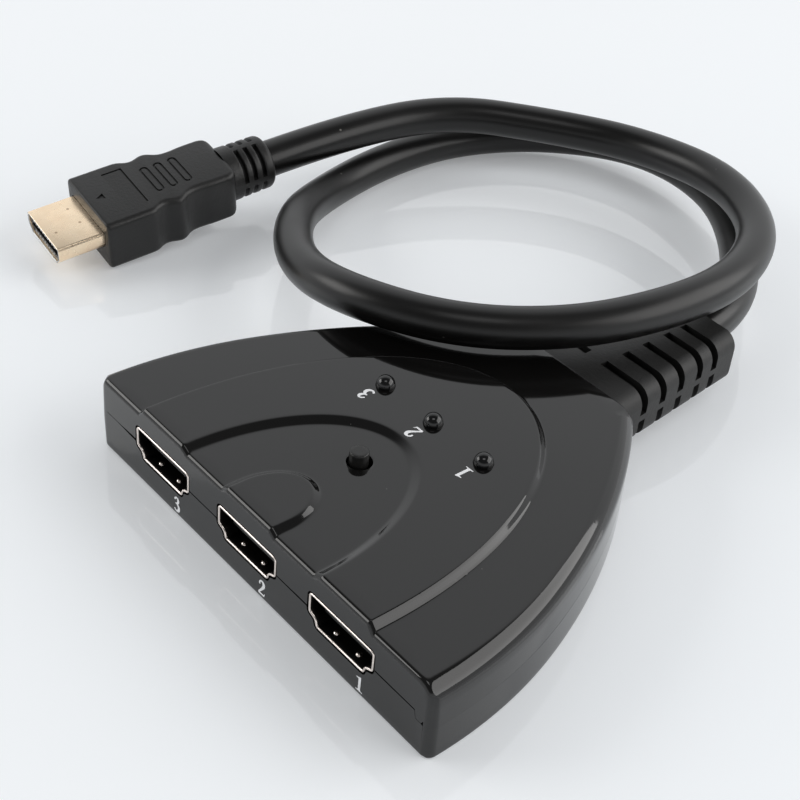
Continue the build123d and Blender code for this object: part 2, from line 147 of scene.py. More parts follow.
class Mat:
    def __init__(self, name):
        self.m = bpy.data.materials.new(name)
        self.m.use_nodes = True
        self.t = self.m.node_tree
        self.b = self.t.nodes["Principled BSDF"]
        self.coord = self.t.nodes.new("ShaderNodeTexCoord")

    def set(self, **kw):
        for k, v in kw.items():
            self.b.inputs[k.replace("_", " ")].default_value = v
        return self

    def node(self, kind, **kw):
        n = self.t.nodes.new(kind)
        for k, v in kw.items():
            if k in n.inputs:
                n.inputs[k].default_value = v
            else:
                setattr(n, k, v)
        return n

    def link(self, a, b):
        self.t.links.new(a, b)

    def noise(self, scale, detail=4.0, rough=0.5, stretch=None, dist=0.0):
        n = self.node("ShaderNodeTexNoise")
        n.inputs["Scale"].default_value = scale
        n.inputs["Detail"].default_value = detail
        n.inputs["Roughness"].default_value = rough
        n.inputs["Distortion"].default_value = dist
        src = self.coord.outputs["Object"]
        if stretch:
            mp = self.node("ShaderNodeMapping")
            mp.inputs["Scale"].default_value = stretch
            self.link(src, mp.inputs["Vector"])
            src = mp.outputs["Vector"]
        self.link(src, n.inputs["Vector"])
        return n.outputs["Fac"]

    def voronoi(self, scale, feature="F1", out="Distance", randomness=1.0):
        n = self.node("ShaderNodeTexVoronoi")
        n.feature = feature
        n.inputs["Scale"].default_value = scale
        n.inputs["Randomness"].default_value = randomness
        self.link(self.coord.outputs["Object"], n.inputs["Vector"])
        return n.outputs[out], n

    def ramp(self, fac, stops):
        n = self.node("ShaderNodeValToRGB")
        el = n.color_ramp.elements
        while len(el) < len(stops):
            el.new(0.5)
        for e, (p, c) in zip(el, stops):
            e.position = p
            e.color = c if len(c) == 4 else (*c, 1)
        self.link(fac, n.inputs["Fac"])
        return n.outputs["Color"]

    def map(self, fac, a, b, c, d):
        n = self.node("ShaderNodeMapRange")
        n.inputs["From Min"].default_value = a
        n.inputs["From Max"].default_value = b
        n.inputs["To Min"].default_value = c
        n.inputs["To Max"].default_value = d
        self.link(fac, n.inputs["Value"])
        return n.outputs["Result"]

    def math(self, op, a, b):
        n = self.node("ShaderNodeMath")
        n.operation = op
        for i, v in enumerate((a, b)):
            if isinstance(v, (int, float)):
                n.inputs[i].default_value = v
            else:
                self.link(v, n.inputs[i])
        return n.outputs[0]

    def mixc(self, fac, a, b):
        n = self.node("ShaderNodeMix")
        n.data_type = "RGBA"
        for sock, v in ((n.inputs[0], fac), (n.inputs[6], a), (n.inputs[7], b)):
            if isinstance(v, (int, float)):
                sock.default_value = v
            elif isinstance(v, tuple):
                sock.default_value = (*v, 1) if len(v) == 3 else v
            else:
                self.link(v, sock)
        return n.outputs[2]

    def bump(self, fac, strength, dist, normal=None):
        n = self.node("ShaderNodeBump")
        n.inputs["Strength"].default_value = strength
        n.inputs["Distance"].default_value = dist * MM
        self.link(fac, n.inputs["Height"])
        if normal is not None:
            self.link(normal, n.inputs["Normal"])
        return n.outputs["Normal"]

    def to(self, out, socket):
        self.link(out, self.b.inputs[socket])
        return self


def specks(m, scale, size, keep):
    """0 to 1: small round specks, only in some cells."""
    d, v = m.voronoi(scale)
    dot = m.map(d, size, size * 0.55, 0.0, 1.0)
    sep = m.node("ShaderNodeSeparateColor")
    m.link(v.outputs["Color"], sep.inputs["Color"])
    pick = m.math("GREATER_THAN", sep.outputs[0], 1.0 - keep)
    n = m.node("ShaderNodeMath")
    n.operation = "MULTIPLY"
    n.use_clamp = True
    m.link(dot, n.inputs[0])
    m.link(pick, n.inputs[1])
    return n.outputs[0]


def glossy_cover():
    m = Mat("cover_plastic")
    big = m.noise(35, 3, 0.5)
    base = m.mixc(m.map(big, 0.35, 0.7, 0, 1), (0.0044, 0.0042, 0.0041), (0.0058, 0.0056, 0.0054))
    dust = specks(m, 520, 0.06, 0.012)
    base = m.mixc(m.math("MULTIPLY", dust, 0.5), base, (0.20, 0.195, 0.185))
    m.to(base, "Base Color")
    rough = m.map(m.noise(60, 6, 0.6), 0.3, 0.75, 0.03, 0.075)
    m.to(rough, "Roughness")
    peel = m.bump(m.noise(900, 2, 0.5), 0.03, 0.03)
    wav = m.bump(m.noise(45, 2, 0.4), 0.04, 0.30, peel)
    m.to(wav, "Normal")
    m.set(IOR=1.5, Specular_IOR_Level=0.5)
    return m.m


def rubber(name, base=(0.0115, 0.0112, 0.0108), rough=(0.38, 0.5), grain=1400, strength=0.22, depth=0.05, dust=0.03, stretch=None):
    m = Mat(name)
    n1 = m.noise(grain, 5, 0.65, stretch)
    n2 = m.noise(55, 4, 0.55)
    c = m.mixc(m.map(n2, 0.35, 0.7, 0, 1), base, tuple(v * 1.35 for v in base))
    if dust:
        c = m.mixc(m.math("MULTIPLY", specks(m, 430, 0.13, dust), 0.6), c, (0.28, 0.27, 0.25))
    m.to(c, "Base Color")
    m.to(m.map(n2, 0.3, 0.75, rough[0], rough[1]), "Roughness")
    m.to(m.bump(n1, strength, depth, m.bump(m.noise(130, 3, 0.5), 0.05, 0.2)), "Normal")
    m.set(IOR=1.48)
    return m.m


def metal(name, base, rough=(0.16, 0.3), scratch=0.15, tint=None):
    m = Mat(name)
    m.set(Metallic=1.0)
    n = m.noise(240, 5, 0.6)
    m.to(m.mixc(m.map(n, 0.35, 0.7, 0, 1), base, tint or tuple(v * 0.86 for v in base)), "Base Color")
    s = m.noise(420, 4, 0.7, (1.0, 9.0, 1.0))
    m.to(m.map(s, 0.35, 0.7, rough[0], rough[1]), "Roughness")
    m.to(m.bump(s, scratch, 0.02), "Normal")
    return m.m


def gold():
    m = Mat("plug_gold")
    m.set(Metallic=1.0)
    n = m.noise(160, 5, 0.6)
    base = m.mixc(m.map(n, 0.35, 0.7, 0, 1), (1.0, 0.82, 0.60), (0.97, 0.76, 0.54))
    marks = specks(m, 420, 0.17, 0.06)
    scratches = m.map(m.noise(380, 6, 0.72, (5.0, 1.0, 1.0), 1.5), 0.60, 0.70, 0.0, 0.6)
    base = m.mixc(m.math("MAXIMUM", m.math("MULTIPLY", marks, 0.85), m.math("MULTIPLY", scratches, 0.55)), base, (0.42, 0.30, 0.20))
    m.to(base, "Base Color")
    m.to(m.map(m.noise(300, 5, 0.6), 0.3, 0.75, 0.20, 0.36), "Roughness")
    m.to(m.bump(scratches, 0.25, 0.03, m.bump(m.noise(700, 3, 0.5), 0.05, 0.03)), "Normal")
    return m.m


def plain(name, base, rough=0.5, metallic=0.0, scale=300.0, var=0.25, bump=0.08, **kw):
    m = Mat(name)
    m.set(Metallic=metallic, **kw)
    n = m.noise(scale, 4, 0.55)
    m.to(m.mixc(m.map(n, 0.35, 0.7, 0, 1), base, tuple(v * (1 - var) for v in base)), "Base Color")
    m.to(m.map(n, 0.3, 0.75, rough * 0.85, min(1.0, rough * 1.15)), "Roughness")
    if bump:
        m.to(m.bump(m.noise(scale * 4, 3, 0.5), bump, 0.03), "Normal")
    return m.m


def dome_mat():
    m = Mat("lens_smoked")
    m.to(m.mixc(m.map(m.noise(500, 3, 0.5), 0.35, 0.7, 0, 1), (0.0036, 0.0036, 0.0040), (0.0056, 0.0054, 0.0054)), "Base Color")
    m.to(m.map(m.noise(400, 4, 0.5), 0.3, 0.7, 0.02, 0.05), "Roughness")
    m.set(IOR=1.52)
    return m.m


def board_mat():
    m = Mat("board")
    n = m.noise(90, 2, 0.4)
    tr, _ = m.voronoi(420, "DISTANCE_TO_EDGE")
    c = m.mixc(m.map(tr, 0.03, 0.06, 1, 0), (0.010, 0.085, 0.040), (0.018, 0.13, 0.062))
    m.to(m.mixc(m.map(n, 0.4, 0.6, 0, 0.4), c, (0.006, 0.06, 0.03)), "Base Color")
    m.set(Roughness=0.35)
    return m.m


COVER = glossy_cover()
CORD = rubber("cord_jacket", (0.0031, 0.0029, 0.0028), (0.30, 0.36), 900, 0.10, 0.03, 0.02)
RELIEF = rubber("relief_rubber", (0.0060, 0.0058, 0.0055), (0.46, 0.58), 1500, 0.6, 0.08, 0.02)
MOULD = rubber("plug_rubber", (0.0064, 0.0063, 0.0060), (0.38, 0.48), 1500, 0.75, 0.08, 0.02)
GOLD = gold()
RIM = metal("socket_metal", (0.93, 0.84, 0.78), (0.16, 0.30), 0.12)
# near-black metal for the sockets' inner walls: painted shade of the deep opening, the shell itself is the same bright
# metal
CAN_INSIDE_PAINTED_SHADE = metal("socket_metal_inside_painted_shade", (0.05, 0.048, 0.046), (0.30, 0.42), 0.1)
EDGE_STEEL = metal("plug_cut_edge", (0.58, 0.58, 0.57), (0.25, 0.4), 0.15)
TIP = plain("contact_tips", (0.62, 0.61, 0.58), 0.3, metallic=0.6)
STEEL = metal("screw_steel", (0.55, 0.55, 0.56), (0.25, 0.45), 0.3)
TIN = metal("tinned_steel", (0.75, 0.75, 0.74), (0.2, 0.4), 0.2)
CONTACT = metal("contact_gold", (0.85, 0.62, 0.30), (0.15, 0.3), 0.1)
SOCKET = plain("socket_plastic", (0.005, 0.005, 0.005), 0.42, scale=400)
SWITCH = plain("switch_plastic", (0.014, 0.014, 0.014), 0.5)
BUTTON = rubber("button_plastic", (0.0080, 0.0077, 0.0074), (0.32, 0.42), 1500, 0.25, 0.04, 0.0)
CHIP = plain("chip_resin", (0.018, 0.018, 0.019), 0.6)
CAP = plain("capacitor_body", (0.42, 0.28, 0.16), 0.5)
WIRE = plain("wire_insulation", (0.62, 0.61, 0.58), 0.4)
CORD.node_tree.nodes["Principled BSDF"].inputs["IOR"].default_value = 1.45
INK = plain("ink_white", (0.93, 0.94, 0.96), 0.45, scale=900, var=0.08, bump=0.05)
LENS = dome_mat()
BOARD = board_mat()

SLOT_MAT = {
    "cover": COVER, "screw_steel": STEEL, "board": BOARD, "switch_plastic": SWITCH, "tinned_steel": TIN,
    "button_plastic": BUTTON, "chip_resin": CHIP, "capacitor_body": CAP, "relief_rubber": RELIEF,
    "cord_jacket": CORD, "wire_insulation": WIRE, "plug_rubber": MOULD, "gold_plate": GOLD,
    "socket_plastic": SOCKET, "contact_gold": CONTACT, "socket_metal": RIM, "lens": LENS,
}
NODE_SLOT = {s["node"]: s["material_slot"] for s in frame["record"]["subparts"]}


def stand_for(ob, node, body="housing"):
    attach(ob, body)
    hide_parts(node)
    return ob


# every CAD piece gets the finish of its slot, and the pieces listed here a softened edge
SOFT_EDGE = {
    "circuit_board": 0.12, "switch_base": 0.15, "switch_cover_plate": 0.05, "switch_chip": 0.0, "chip_leads": 0.03,
    "capacitors": 0.06, "resistors": 0.05, "switch_terminals": 0.04, "led_leads": 0.04, "cover_screws": 0.08,
    "plug_contacts": 0.03,
}
for name, ob in NODES.items():
    ob.data.materials.clear()
    ob.data.materials.append(SLOT_MAT[NODE_SLOT[name]])
    if SOFT_EDGE.get(name):
        bevel(ob, SOFT_EDGE[name], 2)
NODES["plug_contacts"].data.materials[0] = TIP

# ------------------------------------------------------------------ camera
AZ, EL, ROLL = 0.820, 0.649, 0.098
back = Vector((math.sin(AZ) * math.cos(EL), -math.cos(AZ) * math.cos(EL), math.sin(EL)))
right = Vector((math.cos(AZ), math.sin(AZ), 0))
up = back.cross(right)
r2 = right * math.cos(ROLL) + up * math.sin(ROLL)
u2 = -right * math.sin(ROLL) + up * math.cos(ROLL)
TARGET = Vector((-22.366, 15.770, 0.0)) * MM
cam_data = bpy.data.cameras.new("camera")
cam = bpy.data.objects.new("camera", cam_data)
COL.objects.link(cam)
rot = Matrix((r2, u2, back)).transposed()
cam.matrix_world = Matrix.Translation(TARGET + back * 281.58 * MM) @ rot.to_4x4()
cam_data.lens = 70.85
cam_data.sensor_width = 36.0
cam_data.clip_start = 0.01
cam_data.clip_end = 20
bpy.context.scene.camera = cam

# ------------------------------------------------------------------ cord
CORD_D = 7.6
CORD_POINTS = [
    (0.00, 66.75, 7.90), (0.00, 79.88, 7.90), (-18.89, 103.09, 6.64), (-36.50, 113.70, 7.26),
    (-58.49, 115.41, 5.96), (-76.69, 103.26, 4.39), (-86.32, 84.26, 4.03), (-86.90, 63.47, 3.90),
    (-81.85, 43.30, 4.33), (-68.76, 25.70, 10.67), (-53.20, 14.50, 13.40), (-34.80, 10.10, 18.30),
    (-14.98, 18.87, 19.25), (-2.78, 35.75, 19.19), (2.80, 55.75, 19.50), (1.80, 75.10, 18.60),
    (-8.54, 94.43, 16.97), (-27.52, 105.59, 15.58), (-50.18, 104.96, 13.23), (-67.62, 94.73, 12.67),
    (-83.33, 77.96, 13.90), (-88.72, 53.30, 12.95), (-90.54, 34.46, 10.80),
]
cd = bpy.data.curves.new("cord_curve", "CURVE")
cd.dimensions = "3D"
sp = cd.splines.new("NURBS")
sp.points.add(len(CORD_POINTS) - 1)
for p, c in zip(sp.points, CORD_POINTS):
    p.co = (c[0] * MM, c[1] * MM, c[2] * MM, 1.0)
sp.order_u = 3
sp.use_endpoint_u = True
sp.resolution_u = 14
cd.bevel_depth = CORD_D / 2 * MM
cd.bevel_resolution = 12
cd.use_fill_caps = True
cd.materials.append(CORD)
cord = bpy.data.objects.new("cord_line", cd)
COL.objects.link(cord)
stand_for(cord, "cord")

# ------------------------------------------------------------------ housing outline
YF, YR = -33.75, 33.75
ARC1, ARC2, JOINT = (-38.142, -31.554, 81.353), (-68.490, -41.845, 113.398), 0.32695
RF_RIGHT, RF_LEFT, RR = 1.7, 3.3, 3.0
TOP_Z, BAND_UP, FIELD_DOWN, THUMB_UP = 14.0, 1.3, 0.8, 0.8
SOCKET_X, SOCKET_Z = (23.05, 0.0, -23.05), 7.91
LED_X, LED_Y, BUTTON_Y = (12.09, 0.0, -12.09), 2.61, -12.55


def half_outline(RF):
    """Right half, from the middle of the front round to the middle of the rear."""
    c1x, c1y, r1 = ARC1
    c2x, c2y, r2_ = ARC2
    fc = (c1x + math.sqrt((r1 - RF) ** 2 - (YF + RF - c1y) ** 2), YF + RF)
    rc = (c2x + math.sqrt((r2_ - RR) ** 2 - (YR - RR - c2y) ** 2), YR - RR)
    af = math.atan2(fc[1] - c1y, fc[0] - c1x)
    ar = math.atan2(rc[1] - c2y, rc[0] - c2x)
    xs = set(np.round(np.arange(0, fc[0], 0.8), 3)) | {fc[0]}
    for e in (6.1, 16.95, 29.2):
        xs |= set(np.round(np.arange(e - 1.2, e + 1.21, 0.1), 3))
    P = [(x, YF) for x in sorted(xs) if x <= fc[0]]
    N = [(0.0, -1.0)] * len(P)
    for (cx, cy, r), a0, a1, n in (((fc[0], fc[1], RF), -math.pi / 2, af, 22), ((c1x, c1y, r1), af, JOINT, 80), ((c2x, c2y, r2_), JOINT, ar, 130), ((rc[0], rc[1], RR), ar, math.pi / 2, 12)):
        for a in np.linspace(a0, a1, n)[1:]:
            P.append((cx + r * math.cos(a), cy + r * math.sin(a)))
            N.append((math.cos(a), math.sin(a)))
    for x in np.linspace(rc[0], 0, 14)[1:]:
        P.append((x, YR))
        N.append((0.0, 1.0))
    return np.array(P), np.array(N), fc[0]


def outline():
    P, N, right = half_outline(RF_RIGHT)
    Q, M, left = half_outline(RF_LEFT)
    return np.vstack([P, Q[1:-1][::-1] * [-1, 1]]), np.vstack([N, M[1:-1][::-1] * [-1, 1]]), right, left


OP, ON, XC, XL = outline()
NP = len(OP)
FRONT_W = np.clip((-ON[:, 1] - 0.70) / 0.28, 0, 1)
REAR_W = np.clip((ON[:, 1] - 0.80) / 0.19, 0, 1)
SIDE_W = 1 - np.clip(FRONT_W + REAR_W, 0, 1)
FRONT_W = FRONT_W * FRONT_W * (3 - 2 * FRONT_W)


def oval_d(x, y, a, b, y0):
    dy = np.maximum(y - (YF + y0), 0.0)
    q = np.sqrt((x / a) ** 2 + (dy / b) ** 2)
    g = np.sqrt((x / a ** 2) ** 2 + (dy / b ** 2) ** 2) / np.maximum(q, 1e-6)
    return np.where(q < 1e-3, -a, (q - 1) / np.maximum(g, 1e-6))


def step(d, w):
    """0 to 1 across the edge: a straight slope with rounded ends."""
    t = np.clip(-d / w, -1, 1)
    r = np.maximum(np.abs(t) - 0.6, 0.0)
    return 0.5 + 0.5 * np.sign(t) * (1.25 * np.abs(t) - 1.25 * r * r / 0.8)


OVALS = ((29.15, 49.9, 3.8, 0.70), (16.95, 28.55, 0.8, 1.0), (6.1, 8.6, 3.3, 0.80))


def height(x, y):
    x, y = np.asarray(x, float), np.asarray(y, float)
    d = [oval_d(x, y, a, b, y0) for a, b, y0, w in OVALS]
    h = TOP_Z + BAND_UP * step(d[0], OVALS[0][3]) - FIELD_DOWN * step(d[1], OVALS[1][3])
    return h + THUMB_UP * step(d[2], OVALS[2][3])


def side_d(x, y):
    """Distance inside the side's curve, which runs on past the front face."""
    ax = np.abs(x)
    a = np.arctan2(y - ARC1[1], ax - ARC1[0])
    return np.where(a < JOINT, ARC1[2] - np.hypot(ax - ARC1[0], y - ARC1[1]), ARC2[2] - np.hypot(ax - ARC2[0], y - ARC2[1]))


BEV_W, BEV_H, BEV_E = 2.45, 2.60, 1.4      # the slope along the sides of the top
LOW_IN, LOW_R = 0.10, 0.5                  # how far the lower wall leans in, and the rounding under it


def top_z(x, y):
    u = np.clip(1 - (side_d(x, y) - 0.30) / BEV_W, 0, 1)
    return height(x, y) - BEV_H * (1 - np.maximum(1 - u ** BEV_E, 0) ** (1 / BEV_E))


def low_z(x, y):
    u = np.clip(1 - (side_d(x, y) - LOW_IN) / LOW_R, 0, 1)
    return LOW_R * (1 - np.sqrt(np.maximum(1 - u * u, 0)))


def at(inset):
    return OP - ON * np.asarray(inset).reshape(-1, 1)


DRAFT_TOP = 0.30 * (SIDE_W + 0.5 * REAR_W) + 0.05 * FRONT_W


def draft(z):
    return DRAFT_TOP * z / 12.0


LEFT_W = np.clip((-ON[:, 1] - 0.10) / 0.4, 0, 1) * np.clip((1 + ON[:, 1]) / 0.10, 0, 1) * (OP[:, 0] < 0)      # the rounder left corner
BW = 0.8 * FRONT_W + 0.12 * SIDE_W + 0.5 * REAR_W + 0.6 * LEFT_W
BH = 0.9 * FRONT_W + 0.45 * SIDE_W + 0.5 * REAR_W + 2.2 * LEFT_W
inner = at(DRAFT_TOP + BW)
H_EDGE = top_z(inner[:, 0], inner[:, 1])
WALL_TOP = H_EDGE - BH
EXP = 1.7 * FRONT_W + (1.05 + 0.7 * LEFT_W) * SIDE_W + 1.7 * REAR_W
BOT_IN = LOW_IN * SIDE_W + 0.05 * FRONT_W + 0.2 * REAR_W + 0.3 * LEFT_W        # the lower wall leans in towards the underside
BOT_R = 0.35 * SIDE_W + 0.6 * FRONT_W + 0.6 * REAR_W + 1.3 * LEFT_W
foot = at(BOT_IN + BOT_R)
FOOT_Z = low_z(foot[:, 0], foot[:, 1])
RINGS = (0.14, 0.32, 0.52, 0.75, 1.0, 1.3, 1.6, 1.9, 2.15, 2.4, 2.8)

SEAM_SIDE, SEAM_FRONT, JOG_X = 6.25, 7.7, 39.6


def seam_z(x):
    """Height of the seam along the front face."""
    t = np.clip((np.abs(x) - JOG_X) / 0.35, 0, 1)
    return SEAM_FRONT - (SEAM_FRONT - 6.25) * t


def seam_gap(x):
    """Opening of the seam: wider beside the sockets, tight at the corners."""
    g = 0.18 + 0.24 * np.exp(-((x + 31.5) / 2.6) ** 2) + 0.10 * np.exp(-((x - 14.0) / 3.0) ** 2) + 0.04 * np.exp(-((x - 33.0) / 4.0) ** 2)
    g = g * (1 - 0.65 * np.clip((-x - 33.5) / 3.0, 0, 1))
    t = np.clip((np.abs(x) - JOG_X) / 0.35, 0, 1)
    return g * (1 - t) + 0.02 * t


def side_gap(y):
    """Half the opening of the seam along the sides and the rear."""
    t = np.clip((y + 25.0) / 20.0, 0, 1)
    return 0.004 + 0.031 * t * t * (3 - 2 * t)


# outline of a socket: the wide side up, each lower corner an S
def socket_loop(grow=0.0, seg=5):
    right_side = [(0.0, 2.88), (6.6, 2.88)]
    for i in range(seg + 1):
        a = math.pi / 2 * (1 - i / seg)
        right_side.append((6.75 + 0.75 * math.cos(a), 2.13 + 0.75 * math.sin(a)))
    right_side += [(7.5, 0.6), (7.5, -0.55), (7.42, -0.86), (7.18, -1.10), (6.82, -1.26), (6.40, -1.40), (6.05, -1.60),
                   (5.84, -1.92), (5.74, -2.30), (5.60, -2.62), (5.32, -2.82), (4.95, -2.88), (0.0, -2.88)]
    pts = right_side + [(-x, z) for x, z in right_side[-2:0:-1]]
    p = np.array(pts)
    if grow == 0:
        return p
    t = np.roll(p, -1, axis=0) - np.roll(p, 1, axis=0)
    n = np.stack([-t[:, 1], t[:, 0]], 1)
    n /= np.linalg.norm(n, axis=1)[:, None]
    return p + n * grow


CUT = 0.30
cut_loop = socket_loop(CUT)


def front_boundary(upper):
    """Seam side of the front wall from left to right, going round the sockets' upper or lower half."""
    sgn = 1 if upper else -1
    xs = np.arange(-XL, XC + 1e-6, 0.5)
    xs = np.unique(np.round(np.concatenate([xs, [-XL, XC], np.arange(JOG_X - 0.2, JOG_X + 0.6, 0.08), -np.arange(JOG_X - 0.2, JOG_X + 0.6, 0.08)]), 4))
    xs = xs[(xs >= -XL) & (xs <= XC)]
    edge = lambda x: seam_z(x) + sgn * seam_gap(x) / 2
    out = []
    ports = sorted(SOCKET_X)
    spans = []
    for px in ports:
        lp = cut_loop + [px, SOCKET_Z]
        zc = float(edge(np.array(px)))
        idx = [i for i in range(len(lp)) if (lp[i, 1] > zc) == upper]
        sel = lp[idx]
        sel = sel[np.argsort(np.arctan2(sel[:, 1] - SOCKET_Z, (sel[:, 0] - px) * 0.4))]
        sel = sel[::-1] if upper else sel
        w = 7.5 + CUT
        spans.append((px - w, px + w, sel))
    for x in xs:
        if any(a - 1e-6 < x < b + 1e-6 for a, b, _ in spans):
            continue
        out.append((x, float(edge(np.array(x)))))
    for a, b, sel in spans:
        zs = float(edge(np.array((a + b) / 2)))
        k = next((i for i, p in enumerate(out) if p[0] > a), len(out))
        out[k:k] = [(a, float(edge(np.array(a))))] + [tuple(p) for p in sel] + [(b, float(edge(np.array(b))))]
    res = [out[0]]
    for p in out[1:]:
        if math.hypot(p[0] - res[-1][0], p[1] - res[-1][1]) > 0.01:
            res.append(p)
    return res


def side_net(loop, base_in):
    """Points for the slope along the sides: rings, and a finer net at the front corners."""
    side = SIDE_W > 0.02
    net = [at(base_in + k)[side] for k in RINGS]
    gx, gy = np.meshgrid(np.arange(37.6, 43.4, 0.28), np.arange(YF + 0.3, YF + 5.0, 0.28))
    corner = np.column_stack([gx.ravel(), gy.ravel()])
    net += [corner, corner * [-1, 1]]
    net = np.vstack(net)
    return net[inside(loop, net) & inside(at(base_in + 0.12), net)]


# ------------------------------------------------------------------ top cover
def make_top():
    V, F = [], []
    front = [i for i in range(NP) if ON[i, 1] < -0.999]
    # bevel ring
    rows = []
    for t in np.linspace(0, math.pi / 2, 9):
        u, v = max(math.cos(t), 0.0) ** (2 / EXP), math.sin(t) ** (2 / EXP)
        p = at(DRAFT_TOP + BW * (1 - u))
        rows.append(np.column_stack([p, H_EDGE - BH * (1 - v)]))
    top_loop = rows[-1][:, :2].copy()
    rows[-1][:, 2] = H_EDGE
    base = 0
    V += [tuple(p) for r in rows for p in r]
    F += grid_faces(len(rows), NP)
    # wall, all round but the straight front
    levels = [0.0, 0.12, 0.4, 0.7, 1.0]
    base = len(V)
    side_idx = [i for i in range(NP) if i not in set(front)]
    start = side_idx[0] - 1
    chain = [(start + k) % NP for k in range(len(side_idx) + 2)]
    z0 = SEAM_SIDE + 0.004
    low = lambda i: SEAM_SIDE + side_gap(OP[i, 1])
    for lv in levels:
        for i in chain:
            z = low(i) + (WALL_TOP[i] - low(i)) * lv
            p = OP[i] - ON[i] * DRAFT_TOP[i] * (z / WALL_TOP[i])
            V.append((p[0], p[1], z))
    F += grid_faces(len(levels), len(chain), closed=False, base=base)
    # return of the wall's lower edge into the seam
    base = len(V)
    for ins in (0.0, 1.0):
        for i in chain:
            p = OP[i] - ON[i] * (DRAFT_TOP[i] * low(i) / WALL_TOP[i] + ins)
            V.append((p[0], p[1], low(i)))
    F += grid_faces(2, len(chain), closed=False, base=base)
    base = len(V)
    for dz in (0.0, 1.6):
        for i in chain:
            p = OP[i] - ON[i] * (DRAFT_TOP[i] * low(i) / WALL_TOP[i] + 1.0)
            V.append((p[0], p[1], low(i) + dz))
    F += grid_faces(2, len(chain), closed=False, base=base)
    # front wall
    order = sorted(front, key=lambda i: OP[i, 0])
    top_edge = [(OP[i, 0], WALL_TOP[i]) for i in order][::-1]
    low_edge = front_boundary(True)
    ends = []
    zl, zr = low_edge[0][1], low_edge[-1][1]
    rise_r = [(XC, z0 + (WALL_TOP[order[-1]] - z0) * lv) for lv in levels[1:-1]]
    rise_l = [(-XL, z0 + (WALL_TOP[order[0]] - z0) * lv) for lv in levels[1:-1]][::-1]
    rise_r = [p for p in rise_r if p[1] > zr + 0.02]
    rise_l = [p for p in rise_l if p[1] > zl + 0.02]
    loop = low_edge + rise_r + top_edge + rise_l
    extra = [(x, z) for x in np.arange(-40.5, 41, 1.1) for z in (11.6, 12.4)]
    ll = np.array(loop)
    ex = np.array(extra)
    ex = ex[inside(ll, ex)]
    v, f = fill([loop], [tuple(p) for p in ex])
    base = len(V)
    V += [(p[0], YF + 0.05 * p[1] / 12.0, p[1]) for p in v]
    F += [tuple(base + i for i in t) for t in f]
    base = len(V)
    for dy in (0.0, 0.12, 2.0):
        for p in low_edge:
            V.append((p[0], YF + 0.05 * p[1] / 12.0 + dy, p[1]))
    F += grid_faces(3, len(low_edge), closed=False, base=base)
    # top face with its holes
    holes = [(x, LED_Y, 1.69) for x in LED_X] + [(0.2, BUTTON_Y, 2.2)]
    hole_loops = []
    for hx, hy, r in holes:
        hole_loops.append([(hx + r * math.cos(a), hy + r * math.sin(a)) for a in np.linspace(0, 2 * math.pi, 49)[:-1]])
    pts = []
    for (a, b, y0, w) in OVALS:
        n = int(7.5 * b + a)
        for k in np.array([-1.5, -1.04, -0.86, -0.6, -0.3, 0.0, 0.3, 0.6, 0.86, 1.04, 1.5]) * w:
            for t in np.linspace(0, math.pi, n):
                c, s = math.cos(t), math.sin(t)
                g = math.sqrt((c / a) ** 2 + (s / b) ** 2)
                nx, ny = c / a / g, s / b / g
                pts.append((a * c + nx * k, YF + y0 + b * s + ny * k))
            for yy in np.arange(YF + 0.6, YF + y0, 0.45):
                for sx in (-1, 1):
                    pts.append((sx * (a + k), yy))
    for x in np.arange(-44, 44, 2.2):
        for y in np.arange(-33, 33.5, 2.2):
            pts.append((x, y))
    for hx, hy, r in holes:
        for rr in (r + 0.35, r + 0.9):
            for a in np.linspace(0, 2 * math.pi, 41)[:-1]:
                pts.append((hx + rr * math.cos(a), hy + rr * math.sin(a)))
    pts = np.array(pts)
    ok = inside(top_loop, pts)
    shrunk = at(DRAFT_TOP + BW + 0.28)
    ok &= inside(shrunk, pts)
    for hx, hy, r in holes:
        ok &= np.hypot(pts[:, 0] - hx, pts[:, 1] - hy) > r + 0.15
    pts = np.vstack([pts[ok], side_net(top_loop, DRAFT_TOP + BW)])
    key = {}
    for p in pts:
        key.setdefault((round(p[0] / 0.09), round(p[1] / 0.09)), tuple(p))
    v, f = fill([top_loop.tolist()] + hole_loops, list(key.values()))
    z = top_z(v[:, 0], v[:, 1])
    base = len(V)
    V += [(p[0], p[1], zz) for p, zz in zip(v, z)]
    F += [tuple(base + i for i in t) for t in f]
    # hole rims and walls
    for (hx, hy, r), lp in zip(holes, hole_loops):
        base = len(V)
        n = len(lp)
        rim = (0.0, -0.06, -0.10) if r > 2 else (0.0, -0.01, -0.03)
        for dr, dz in ((rim[0], 0.0), (rim[1], -0.03), (rim[2], -0.12), (rim[2], -2.0)):
            for p in lp:
                k = (r + dr) / r
                x, y = hx + (p[0] - hx) * k, hy + (p[1] - hy) * k
                V.append((x, y, float(height(p[0], p[1])) + dz))
        F += grid_faces(4, n, base=base)
    # ceiling inside, so that nothing shows through
    ce = at(2.0)
    v, f = fill([ce.tolist()] + hole_loops, [])
    base = len(V)
    V += [(p[0], p[1], 12.0) for p in v]
    F += [tuple(base + i for i in t) for t in f]
    return mesh_obj("top_cover_shell", V, F, COVER, angle=48, merge=0.004)


top = make_top()
stand_for(top, "top_cover")


